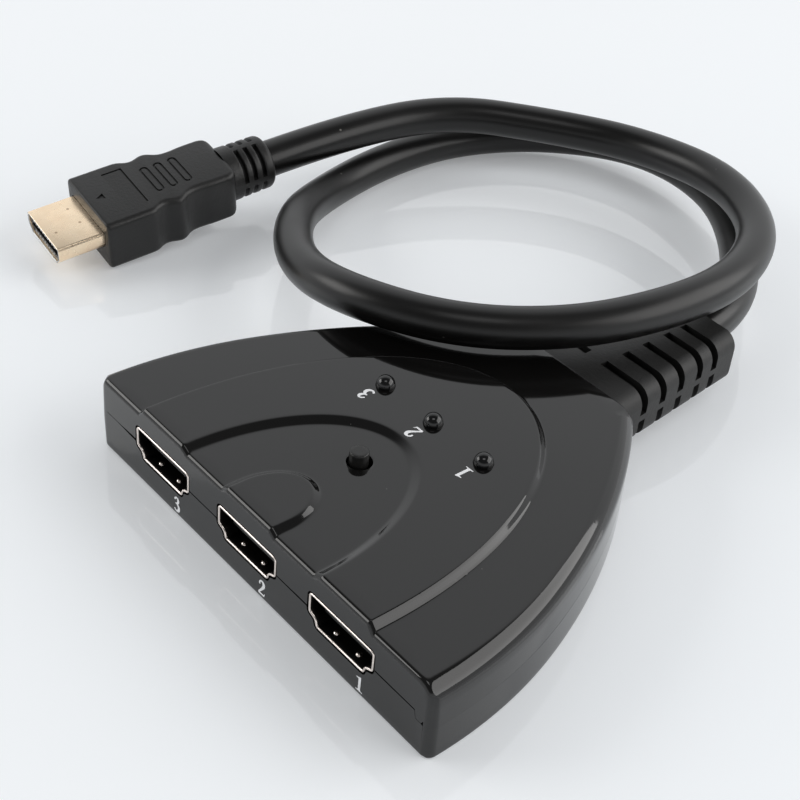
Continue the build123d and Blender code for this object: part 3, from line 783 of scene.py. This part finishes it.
# ------------------------------------------------------------------ bottom cover
def make_bottom():
    V, F = [], []
    front = [i for i in range(NP) if ON[i, 1] < -0.999]
    rows = []
    for t in np.linspace(0, math.pi / 2, 8):
        p = at(BOT_IN + BOT_R * (1 - math.sin(t)))
        rows.append(np.column_stack([p, FOOT_Z + BOT_R * (1 - math.cos(t))]))
    V += [tuple(p) for r in rows for p in r]
    F += grid_faces(len(rows), NP)
    side_idx = [i for i in range(NP) if i not in set(front)]
    start = side_idx[0] - 1
    chain = [(start + k) % NP for k in range(len(side_idx) + 2)]
    edge_in = lambda i: DRAFT_TOP[i] * SEAM_SIDE / WALL_TOP[i]
    high_z = lambda i: SEAM_SIDE - side_gap(OP[i, 1])
    base = len(V)
    levels = (0.0, 0.15, 0.4, 0.7, 0.97, 1.0)
    for lv in levels:
        for i in chain:
            z0 = FOOT_Z[i] + BOT_R[i]
            z = z0 + (high_z(i) - z0) * lv
            p = OP[i] - ON[i] * (BOT_IN[i] + (edge_in(i) - BOT_IN[i]) * math.sin(lv * math.pi / 2))
            V.append((p[0], p[1], z))
    F += grid_faces(len(levels), len(chain), closed=False, base=base)
    base = len(V)
    for ins, dz in ((0.0, 0.0), (1.15, 0.0), (1.15, 1.5), (2.0, 1.5), (2.0, 2.0 - SEAM_SIDE)):
        for i in chain:
            p = OP[i] - ON[i] * (edge_in(i) + ins)
            V.append((p[0], p[1], high_z(i) + dz))
    F += grid_faces(5, len(chain), closed=False, base=base)
    # front wall
    order = sorted(front, key=lambda i: OP[i, 0])
    low = [(OP[i, 0], FOOT_Z[i] + BOT_R[i]) for i in order]
    high = front_boundary(False)[::-1]
    zs = [BOT_R[order[0]] + (SEAM_SIDE - 0.004 - BOT_R[order[0]]) * lv for lv in levels[1:]]
    rr = [(XC, z) for z in zs if z < high[0][1] - 0.02]
    rl = [(-XL, z) for z in zs[::-1] if z < high[-1][1] - 0.02]
    lean = lambda z: 0.05 * min(1.0, max(0.0, (6.0 - z) / 5.2))
    loop = low + rr + high + rl
    v, f = fill([loop], [(x, z) for x in np.arange(-40.5, 41, 1.3) for z in (1.6, 3.0)])
    base = len(V)
    V += [(p[0], YF + lean(p[1]), p[1]) for p in v]
    F += [tuple(base + i for i in t) for t in f]
    base = len(V)
    for dy in (0.0, 0.12, 2.0):
        for p in high:
            V.append((p[0], YF + lean(p[1]) + dy, p[1]))
    F += grid_faces(3, len(high), closed=False, base=base)
    # underside with the screw recesses
    under = at(BOT_IN + BOT_R)
    holes = [(36.0, -27.3, 2.4), (-36.0, -27.3, 2.4), (20.0, 14.0, 2.4), (-20.0, 14.0, 2.4)]
    loops = [[(hx + r * math.cos(a), hy + r * math.sin(a)) for a in np.linspace(0, 2 * math.pi, 33)[:-1]] for hx, hy, r in holes]
    pts = [(x, y) for x in np.arange(-40, 41, 5.0) for y in np.arange(-30, 31, 5.0)]
    pa = np.array(pts)
    ok = inside(at(BOT_IN + BOT_R + 3.2), pa)
    for hx, hy, r in holes:
        ok &= np.hypot(pa[:, 0] - hx, pa[:, 1] - hy) > r + 0.4
    net = side_net(under, BOT_IN + BOT_R)
    for hx, hy, r in holes:
        net = net[np.hypot(net[:, 0] - hx, net[:, 1] - hy) > r + 0.4]
    v, f = fill([under.tolist()] + loops, [tuple(p) for p in np.vstack([pa[ok], net])])
    base = len(V)
    V += [(p[0], p[1], float(low_z(p[0], p[1]))) for p in v]
    F += [tuple(base + i for i in t) for t in f]
    for (hx, hy, r), lp in zip(holes, loops):
        base = len(V)
        for k, z in ((1.0, 0.0), (1.0, 1.7), (0.5, 1.7)):
            for p in lp:
                V.append((hx + (p[0] - hx) * k, hy + (p[1] - hy) * k, z))
        F += grid_faces(3, len(lp), base=base)
    v, f = fill([at(2.0).tolist()], [])
    base = len(V)
    V += [(p[0], p[1], 2.0) for p in v]
    F += [tuple(base + i for i in t) for t in f]
    return mesh_obj("bottom_cover_shell", V, F, COVER, angle=48, merge=0.004)


bottom = make_bottom()
stand_for(bottom, "bottom_cover")


# ------------------------------------------------------------------ sockets
def sweep_loops(loops, closed=True):
    """loops: list of (loop points (n,2), y). Returns vertices and faces of the skin through them."""
    n = len(loops[0][0])
    V = [(p[0], y, p[1]) for lp, y in loops for p in lp]
    return V, grid_faces(len(loops), n)


def make_socket(n, px):
    o, T = socket_loop, 0.42
    Y0 = YF
    prof = [(o(0.0), Y0 + 11.6), (o(0.0), Y0 + 0.16), (o(-0.05), Y0 + 0.05), (o(-0.14), Y0), (o(-T + 0.14), Y0),
            (o(-T + 0.05), Y0 + 0.06), (o(-T), Y0 + 0.2), (o(-T), Y0 + 0.9), (o(-T), Y0 + 11.5)]
    V, F = sweep_loops([(lp + [px, SOCKET_Z], y) for lp, y in prof])
    ring = len(prof[0][0])
    # faces from just inside the lip onward take the near-black metal: painted shade inside the socket
    which = [1 if k // ring >= 6 else 0 for k in range(len(F))]
    # sprung dimples in the lower wall and windows' edges in the roof
    for dx, dy, z, s, r in DIMPLES:
        base = len(V)
        m, k = 20, 6
        for j in range(k):
            a = math.pi / 2 * j / (k - 1)
            for i in range(m):
                b = 2 * math.pi * i / m
                V.append((px + dx + r * math.cos(a) * math.cos(b), Y0 + dy + r * math.cos(a) * math.sin(b), SOCKET_Z + z + s * 0.34 * math.sin(a)))
        F += grid_faces(k, m, base=base)
        which += [0] * ((k - 1) * m)
    ob = mesh_obj(f"socket_{n}_can", V, F, [RIM, CAN_INSIDE_PAINTED_SHADE], angle=50, merge=0.003, which=which)
    stand_for(ob, f"socket_{n}_shell")
    return ob


DIMPLES = ((-2.55, 1.62, -2.46, 1, 0.52), (2.65, 1.62, -2.46, 1, 0.52), (-3.4, 2.4, 2.46, -1, 0.6), (3.4, 2.4, 2.46, -1, 0.6))
for n, px in zip((1, 2, 3), SOCKET_X):
    make_socket(n, px)
    bevel(NODES[f"socket_{n}_insulator"], 0.08, 2)


# ------------------------------------------------------------------ turned pieces: lamps and button
def lathe(name, cx, cy, profile, mat, seg=48, angle=40):
    V, F = [], []
    for r, z in profile:
        for i in range(seg):
            a = 2 * math.pi * i / seg
            V.append((cx + max(r, 1e-4) * math.cos(a), cy + max(r, 1e-4) * math.sin(a), z))
    F += grid_faces(len(profile), seg)
    return mesh_obj(name, V, F, mat, angle=angle, merge=0.002)


for n, x in zip((1, 2, 3), LED_X):
    R, ZB = 1.65, 15.38
    prof = [(0.0, 10.7), (2.3, 10.7), (2.3, 11.7), (R, 11.75), (R, ZB)]
    prof += [(R * math.cos(a), ZB + 1.76 * math.sin(a)) for a in np.linspace(0.05, math.pi / 2, 20)]
    lens = lathe(f"lamp_{n}_dome", x, LED_Y, prof, LENS, 56, 60)
    stand_for(lens, f"led_{n}_lens")

prof = [(0.0, 7.48), (2.12, 7.48), (2.2, 7.56), (2.2, 8.30), (2.12, 8.38), (1.58, 8.38), (1.58, 16.20), (1.55, 16.34), (1.48, 16.44), (1.37, 16.50), (0.9, 16.50), (0.5, 16.50), (0.0, 16.50)]
button = lathe("button_cap", 0.0, BUTTON_Y, prof, BUTTON, 56, 50)
stand_for(button, "select_button", "select_button")
bevel(NODES["switch_base"], 0.12, 2)


# ------------------------------------------------------------------ strain relief
relief = NODES["strain_relief"]
bevel(relief, 0.28, 3, 35)

# ------------------------------------------------------------------ plug
PLUG_H, PLUG_L, BOOT_L, BOOT_D, PLUG_OUT = 10.8, 29.8, 9.7, 11.4, 9.7
yaw, pitch, roll = math.radians(264.5), math.radians(-6.5), math.radians(-5.9)
mouth = Vector((math.cos(yaw) * math.cos(pitch), math.sin(yaw) * math.cos(pitch), math.sin(pitch)))
pback = -mouth
pside = -(Vector((0, 0, 1)).cross(pback)).normalized()
pup = pside.cross(pback)
pside, pup = pside * math.cos(roll) + pup * math.sin(roll), pup * math.cos(roll) - pside * math.sin(roll)
PLUG_M = Matrix((pside, pback, pup)).transposed()
PLUG_AT = Vector((-94.3, -4.61, 6.33))


def to_plug(V):
    return [tuple(PLUG_AT + PLUG_M @ Vector(v)) for v in V]


FLANK = ((0, 9.0), (9.6, 9.0), (10.6, 8.85), (11.6, 8.2), (12.7, 7.85), (13.8, 7.95), (15.0, 8.45), (16.1, 8.65), (17.0, 8.3),
         (18.2, 7.4), (19.4, 7.02), (20.6, 6.95), (22.0, 7.0), (23.2, 7.15), (24.5, 7.2), (29.8, 7.2))
fine_y = np.arange(-3.0, 33.0, 0.05)
fine_w = np.interp(fine_y, *np.array(FLANK).T)
kern = np.exp(-(np.arange(-24, 25) * 0.05 / 0.42) ** 2 / 2)
fine_w = np.convolve(np.pad(fine_w, 24, mode="edge"), kern / kern.sum(), mode="valid")


def half_width(y):
    """Half the moulding's width at a distance y behind its front face: a bulge in the waist, then the narrow rear."""
    return float(np.interp(y, fine_y, fine_w))


def rounded_rect(w, h, r, seg=6):
    pts = []
    for cx, cz, a0 in ((w - r, h - r, 0), (-(w - r), h - r, 90), (-(w - r), -(h - r), 180), (w - r, -(h - r), 270)):
        for i in range(seg + 1):
            a = math.radians(a0 + 90 * i / seg)
            pts.append((cx + r * math.cos(a), cz + r * math.sin(a)))
    return np.array(pts)


def make_mould():
    rows = []
    hh = PLUG_H / 2
    for d, y in ((0.55, 0.0), (0.32, 0.07), (0.14, 0.20), (0.03, 0.40), (0.0, 0.6)):
        rows.append((rounded_rect(9.0 - d, hh - d * 0.6, max(1.2 - d * 0.4, 0.5)), y))
    for y in list(np.arange(1.3, PLUG_L - 2.6, 0.3)):
        rows.append((rounded_rect(half_width(y), hh, 1.2), y))
    RC = 2.4
    for a in np.linspace(0, math.pi / 2, 12):
        y = PLUG_L - RC + RC * math.sin(a)
        cut = RC * (1 - math.cos(a))
        zc = 1.1 * max(0, 1 - math.sqrt(max(0, 1 - max(0, (y - (PLUG_L - 1.1)) / 1.1) ** 2)))
        rows.append((rounded_rect(7.2 - cut, hh - zc, 1.2), y))
    V, F = sweep_loops(rows)
    n = len(rows[0][0])
    # the front face with the opening for the shell is added after this returns
    return V, F, rows, n


def poly_face(V, F, loop_idx):
    F.append(tuple(loop_idx))


V, F, rows, n_ring = make_mould()
# front face: ring between the outer edge and the shell's pocket
SH_W, SH_H, DROP = 13.9 / 2, 4.45 / 2, -0.2


def shell_loop(grow=0.0):
    w, h = SH_W, SH_H
    pts = []
    r = 0.55
    for cx, cz, a0, a1 in ((w - r, h - r, 90, 0),):
        for i in range(6):
            a = math.radians(a0 + (a1 - a0) * i / 5)
            pts.append((cx + r * math.cos(a), cz + r * math.sin(a)))
    pts += [(w, 0.4), (w, -0.15), (w - 0.08, -0.5), (w - 0.35, -0.85), (w - 1.05, -1.55), (w - 1.35, -1.95), (w - 1.7, -h + 0.03), (w - 2.1, -h)]
    right_ = [(0.0, h)] + pts + [(0.0, -h)]
    allp = right_ + [(-x, z) for x, z in right_[-2:0:-1]]
    p = np.array(allp)
    if grow:
        t = np.roll(p, -1, axis=0) - np.roll(p, 1, axis=0)
        nn = np.stack([-t[:, 1], t[:, 0]], 1)
        nn /= np.linalg.norm(nn, axis=1)[:, None]
        p = p + nn * grow
    return p + [0, -DROP]


outer_loop = rows[0][0]
pocket = shell_loop(0.14)
fv, ff = fill([outer_loop.tolist(), pocket.tolist()], [])
base = len(V)
V += [(p[0], 0.0, p[1]) for p in fv]
F += [tuple(base + i for i in t) for t in ff]
base = len(V)
for y in (0.0, 0.8):
    V += [(p[0], y, p[1]) for p in pocket]
F += grid_faces(2, len(pocket), base=base)
fv, ff = fill([pocket.tolist(), shell_loop(-0.05).tolist()], [])
base = len(V)
V += [(p[0], 0.8, p[1]) for p in fv]
F += [tuple(base + i for i in t) for t in ff]
# back face
base = len(V)
last = rows[-1][0]
V += [(p[0], PLUG_L, p[1]) for p in last]
F.append(tuple(range(base, base + len(last))))
mould = mesh_obj("plug_body", to_plug(V), F, MOULD, angle=38, merge=0.003)


def cutter(V, F):
    ob = mesh_obj("cutter_tmp", to_plug(V), F, merge=0.001)
    return ob


def extrude_loop(loop, z0, z1):
    n = len(loop)
    V = [(p[0], p[1], z0) for p in loop] + [(p[0], p[1], z1) for p in loop]
    F = [tuple(range(n))[::-1], tuple(range(n, 2 * n))] + [(i, (i + 1) % n, n + (i + 1) % n, n + i) for i in range(n)]
    return V, F


def ring_cut(outer_, inner_, z0, z1):
    n = len(outer_)
    V = [(p[0], p[1], z0) for p in outer_] + [(p[0], p[1], z1) for p in outer_] + [(p[0], p[1], z0) for p in inner_] + [(p[0], p[1], z1) for p in inner_]
    F = []
    for i in range(n):
        j = (i + 1) % n
        F += [(i, j, n + j, n + i), (2 * n + j, 2 * n + i, 3 * n + i, 3 * n + j), (j, i, 2 * n + i, 2 * n + j), (n + i, n + j, 3 * n + j, 3 * n + i)]
    return V, F


def stadium(cx, cy, length, width, seg=8):
    pts, r = [], width / 2
    for a0, sy in ((0, 1), (180, -1)):
        for i in range(seg + 1):
            a = math.radians(a0 + 180 * i / seg)
            pts.append((cx + r * math.cos(a), cy + sy * (length / 2 - r) + r * math.sin(a)))
    return pts


top_z = PLUG_H / 2
CUTS = []
# the plug's own right-hand side is x < 0 here, seen from behind with the wide side up
for cx, cy in ((0.0, 14.1), (0.0, 17.1), (0.0, 20.3)):
    st = stadium(0, 0, 8.5, 1.9)
    st = [(cx + y_, cy + x_) for x_, y_ in st]
    si = stadium(0, 0, 7.6, 1.0)
    si = [(cx + y_, cy + x_) for x_, y_ in si]
    CUTS.append(ring_cut(st[::-1], si[::-1], top_z - 0.28, top_z + 0.5))
CUTS.append(extrude_loop([(-0.9, 3.7), (0.0, 2.0), (0.9, 3.7)], top_z - 0.3, top_z + 0.5))
CUTS.append(extrude_loop([(-6.2, 6.1), (-5.8, 6.1), (-5.8, 10.0), (5.8, 10.0), (5.8, 10.4), (-6.2, 10.4)], top_z - 0.3, top_z + 0.5))
for cv, cf in CUTS:
    c = cutter(cv, cf)
    md = mould.modifiers.new("cut", "BOOLEAN")
    md.operation = "DIFFERENCE"
    md.solver = "EXACT"
    md.object = c
    bpy.context.view_layer.update()
    dg = bpy.context.evaluated_depsgraph_get()
    new = bpy.data.meshes.new_from_object(mould.evaluated_get(dg))
    mould.modifiers.clear()
    mould.data = new
    bpy.data.objects.remove(c)
smooth_by_angle(mould, 38)


# boot with ring slots, part of the same moulding
def make_boot():
    V, F = [], []
    R = BOOT_D / 2
    seg = 120
    ribs = [(2.25, 3.25), (4.35, 5.35), (6.5, 7.5)]
    ends = [-0.6, 0.0, 1.0, 8.2, 8.6, 8.9, 9.2, 9.4, 9.55, 9.65, 9.7]
    ys = sorted(set(ends + [v for a, b in ribs for v in (a - 0.16, a, a + 0.10, b - 0.10, b, b + 0.16)] + list(np.arange(1.5, 8.1, 0.5))))

    def prof_r(y):
        r = R - 0.2 * min(1, max(0, y / 9.7))
        k = max(0.0, (y - 8.7) / 1.0)
        return r - 0.9 * (1 - math.sqrt(max(0.0, 1 - k * k)))

    for y in ys:
        for i in range(seg):
            a = 2 * math.pi * i / seg
            r = prof_r(y)
            deg = math.degrees(a) % 90
            spine = min(deg, 90 - deg) < 7.5
            for s0, s1 in ribs:
                if s0 - 0.01 <= y <= s1 + 0.01:
                    t = 1.0 if s0 + 0.09 <= y <= s1 - 0.09 else 0.0
                    if not spine:
                        r = r - 1.1 * t - (0.10 if t == 0 else 0)
            V.append((r * math.cos(a), PLUG_L + y, r * math.sin(a)))
    F += grid_faces(len(ys), seg)
    base = len(V)
    for r in (prof_r(9.7), CORD_D / 2 + 0.05, CORD_D / 2 - 0.3):
        for i in range(seg):
            a = 2 * math.pi * i / seg
            V.append((r * math.cos(a), PLUG_L + 9.7, r * math.sin(a)))
    F += grid_faces(3, seg, base=base)
    return V, F


bv, bf = make_boot()
boot = mesh_obj("plug_boot", to_plug(bv), bf, MOULD, angle=42, merge=0.003)
for ob in (mould, boot):
    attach(ob, "housing")
    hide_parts("plug_moulding")

# gold shell of the plug
T, E = 0.36, -PLUG_OUT
prof = [(0.0, 2.2), (0.0, E + 0.14), (-0.04, E + 0.04), (-0.10, E), (-T + 0.08, E), (-T + 0.03, E + 0.05), (-T, E + 0.15), (-T, -0.5)]
V, F = sweep_loops([(shell_loop(g), y) for g, y in prof])
ring = len(shell_loop())
shell = mesh_obj("plug_shell_can", to_plug(V), F, [GOLD, EDGE_STEEL], angle=50, merge=0.002, which=[1 if 2 <= k // ring <= 5 else 0 for k in range(len(F))])
stand_for(shell, "plug_shell")
bevel(NODES["plug_insulator"], 0.08, 2)

# tips of the contacts, just inside the mouth
V, F, which = [], [], []
for k in range(19):
    x, z0, z1 = (-4.5 + k, 0.98, 1.32) if k < 10 else (-4.0 + (k - 10), -0.92, -0.58)
    base = len(V)
    V += [(x + sx * 0.24, y, z - DROP) for z in (z0, z1) for y in (-PLUG_OUT + 0.22, -PLUG_OUT + 1.1) for sx in (-1, 1)]
    F += [tuple(base + i for i in q) for q in ((0, 1, 3, 2), (4, 6, 7, 5), (0, 4, 5, 1), (2, 3, 7, 6), (0, 2, 6, 4), (1, 5, 7, 3))]
tips = mesh_obj("plug_contact_tips", to_plug(V), F, TIP, smooth=False)
bevel(tips, 0.04, 2)
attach(tips, "housing")


# ------------------------------------------------------------------ numerals
def stroke(path, sub=5):
    """Outline of a line of varying width, through (x, y, half width), height of a figure = 1."""
    P = np.array(path, float)
    ext = np.vstack([2 * P[0] - P[1], P, 2 * P[-1] - P[-2]])
    pts = []
    for i in range(len(P) - 1):
        a, b, c, d = ext[i:i + 4]
        for t in np.linspace(0, 1, sub, endpoint=False):
            pts.append(0.5 * (2 * b + (c - a) * t + (2 * a - 5 * b + 4 * c - d) * t * t + (3 * b - a - 3 * c + d) * t ** 3))
    pts = np.array(pts + [P[-1]])
    tan = np.gradient(pts[:, :2], axis=0)
    tan /= np.linalg.norm(tan, axis=1)[:, None]
    w = pts[:, 2] * 1.32 + 0.024
    nrm = np.column_stack([-tan[:, 1], tan[:, 0]]) * w[:, None]
    l, r = pts[:, :2] + nrm, pts[:, :2] - nrm
    out = [[tuple(l[i]), tuple(r[i]), tuple(r[i + 1]), tuple(l[i + 1])] for i in range(len(pts) - 1)]
    return out + [dot(x, y, k) for (x, y, _), k in zip(pts, w)]


def dot(x, y, r):
    return [(x + r * math.cos(a), y + r * math.sin(a)) for a in np.linspace(0, 2 * math.pi, 15)[:-1]]


FIGURES = {
    "1": [[(0.07, 0.0), (0.60, 0.0), (0.60, 0.055), (0.50, 0.065), (0.445, 0.09), (0.43, 0.14), (0.43, 1.0), (0.37, 1.0), (0.235, 0.94),
           (0.07, 0.89), (0.07, 0.83), (0.18, 0.845), (0.225, 0.84), (0.245, 0.80), (0.245, 0.14), (0.23, 0.09), (0.18, 0.065), (0.07, 0.055)]],
    "2": [*stroke([(0.115, 0.74, 0.030), (0.125, 0.84, 0.022), (0.20, 0.935, 0.024), (0.31, 0.965, 0.034), (0.42, 0.915, 0.056), (0.475, 0.79, 0.066),
                  (0.445, 0.64, 0.058), (0.35, 0.48, 0.040), (0.22, 0.30, 0.030), (0.07, 0.10, 0.026)]),
          dot(0.115, 0.755, 0.045), [(0.03, 0.0), (0.53, 0.0), (0.60, 0.235), (0.565, 0.235), (0.525, 0.155), (0.47, 0.125), (0.11, 0.125), (0.03, 0.045)]],
    "3": [*stroke([(0.105, 0.80, 0.026), (0.16, 0.905, 0.022), (0.265, 0.965, 0.026), (0.375, 0.93, 0.046), (0.43, 0.81, 0.058), (0.385, 0.655, 0.044),
                  (0.28, 0.56, 0.022), (0.19, 0.53, 0.016)]),
          *stroke([(0.19, 0.53, 0.016), (0.31, 0.53, 0.030), (0.44, 0.44, 0.058), (0.49, 0.29, 0.066), (0.44, 0.13, 0.056), (0.32, 0.035, 0.034),
                  (0.20, 0.03, 0.030), (0.10, 0.09, 0.034)]),
          dot(0.11, 0.80, 0.036), dot(0.115, 0.105, 0.052)],
}


def numeral(text, centre, x_dir, up_dir, size, name):
    """A printed figure: a thin film with its own outline, size mm high."""
    x, u = Vector(x_dir).normalized(), Vector(up_dir).normalized()
    n = x.cross(u)
    v, F = fill([[(a * size, b * size) for a, b in loop] for loop in FIGURES[text]], union=True)
    V = [tuple(Vector(centre) + x * (p[0] - 0.31 * size) + u * (p[1] - 0.5 * size) + n * 0.008) for p in v]
    ob = mesh_obj(name, V, F, INK, smooth=False, recalc=False)
    bm = bmesh.new()
    bm.from_mesh(ob.data)
    for f in bm.faces:
        if f.normal.dot(n) < 0:
            f.normal_flip()
    bm.to_mesh(ob.data)
    bm.free()
    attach(ob, "housing")
    return ob


for n, x in ((1, 28.0), (2, 4.35), (3, -18.75)):
    numeral(str(n), (x, YF, 2.45), (1, 0, 0), (0, 0, 1), 2.9, f"front_numeral_{n}")
for n, x in zip((1, 2, 3), LED_X):
    numeral(str(n), (x, LED_Y - 4.2, 15.302), (-1, 0, 0), (0, -1, 0), 2.95, f"lamp_numeral_{n}")

# ------------------------------------------------------------------ stage: floor and lights
fm = Mat("floor_gloss")
fm.set(Roughness=0.03, IOR=1.45)
cloud = fm.noise(6, 2, 0.5)
fm.to(fm.mixc(fm.map(cloud, 0.3, 0.7, 0, 1), (0.80, 0.83, 0.86), (0.815, 0.842, 0.868)), "Base Color")
fm.set(Emission_Color=(0.97, 0.985, 1.0, 1), Emission_Strength=0.20)
bpy.ops.mesh.primitive_plane_add(size=3.0, location=(0, 0, -0.00002))
floor = bpy.context.object
floor.name = "floor"
floor.data.materials.append(fm.m)

WORLD_DIM, WORLD_FAR, WORLD_LOW = 0.14, 1.0, 0.85
world = bpy.data.worlds.new("studio")
bpy.context.scene.world = world
world.use_nodes = True
wt = world.node_tree
bg = wt.nodes["Background"]


def wnode(kind, **kw):
    n = wt.nodes.new(kind)
    for k, v in kw.items():
        setattr(n, k, v)
    return n


def wmap(src, a, b, c, d):
    n = wnode("ShaderNodeMapRange", interpolation_type="SMOOTHSTEP")
    for k, v in zip(("From Min", "From Max", "To Min", "To Max"), (a, b, c, d)):
        n.inputs[k].default_value = v
    wt.links.new(src, n.inputs["Value"])
    return n.outputs["Result"]


# the room by direction: a pale ring at table height, the far left bright, the rest dim
way = wnode("ShaderNodeTexCoord").outputs["Generated"]
parts = wnode("ShaderNodeSeparateXYZ")
wt.links.new(way, parts.inputs[0])
toward = wnode("ShaderNodeVectorMath", operation="DOT_PRODUCT")
wt.links.new(way, toward.inputs[0])
toward.inputs[1].default_value = (-0.73, 0.68, 0.0)
high = wmap(toward.outputs["Value"], 0.2, 0.6, WORLD_DIM, WORLD_FAR)
rise = wmap(parts.outputs["Z"], 0.15, 0.45, 0.0, 1.0)
mix = wnode("ShaderNodeMix", data_type="FLOAT")
wt.links.new(rise, mix.inputs[0])
mix.inputs[2].default_value = WORLD_LOW
wt.links.new(high, mix.inputs[3])
wt.links.new(mix.outputs[0], bg.inputs["Strength"])
bg.inputs["Color"].default_value = (0.97, 0.985, 1.0, 1)


def softbox(name, toward, dist, size, power, color=(1, 1, 1), centre=(-0.02, 0.02, 0)):
    ld = bpy.data.lights.new(name, "AREA")
    ld.shape = "RECTANGLE"
    ld.size, ld.size_y = size
    ld.energy = power
    ld.color = color
    ob = bpy.data.objects.new(name, ld)
    COL.objects.link(ob)
    d = Vector(toward).normalized()
    ob.location = Vector(centre) + d * dist
    ob.rotation_euler = (-d).to_track_quat("-Z", "Y").to_euler()
    return ob


softbox("panel_right", (0.62, 0.62, 0.50), 1.2, (1.4, 0.8), 9.4, (1.0, 0.99, 0.98))
softbox("panel_left", (-0.62, -0.60, 0.45), 1.0, (0.6, 0.4), 3.0, (1.0, 0.99, 0.97))
softbox("strip_overhead", (0.285, -0.266, 0.92), 1.1, (0.5, 0.3), 0.9, (1.0, 1.0, 1.0))

bpy.context.scene.view_settings.view_transform = "Standard"
bpy.context.scene.view_settings.look = "None"
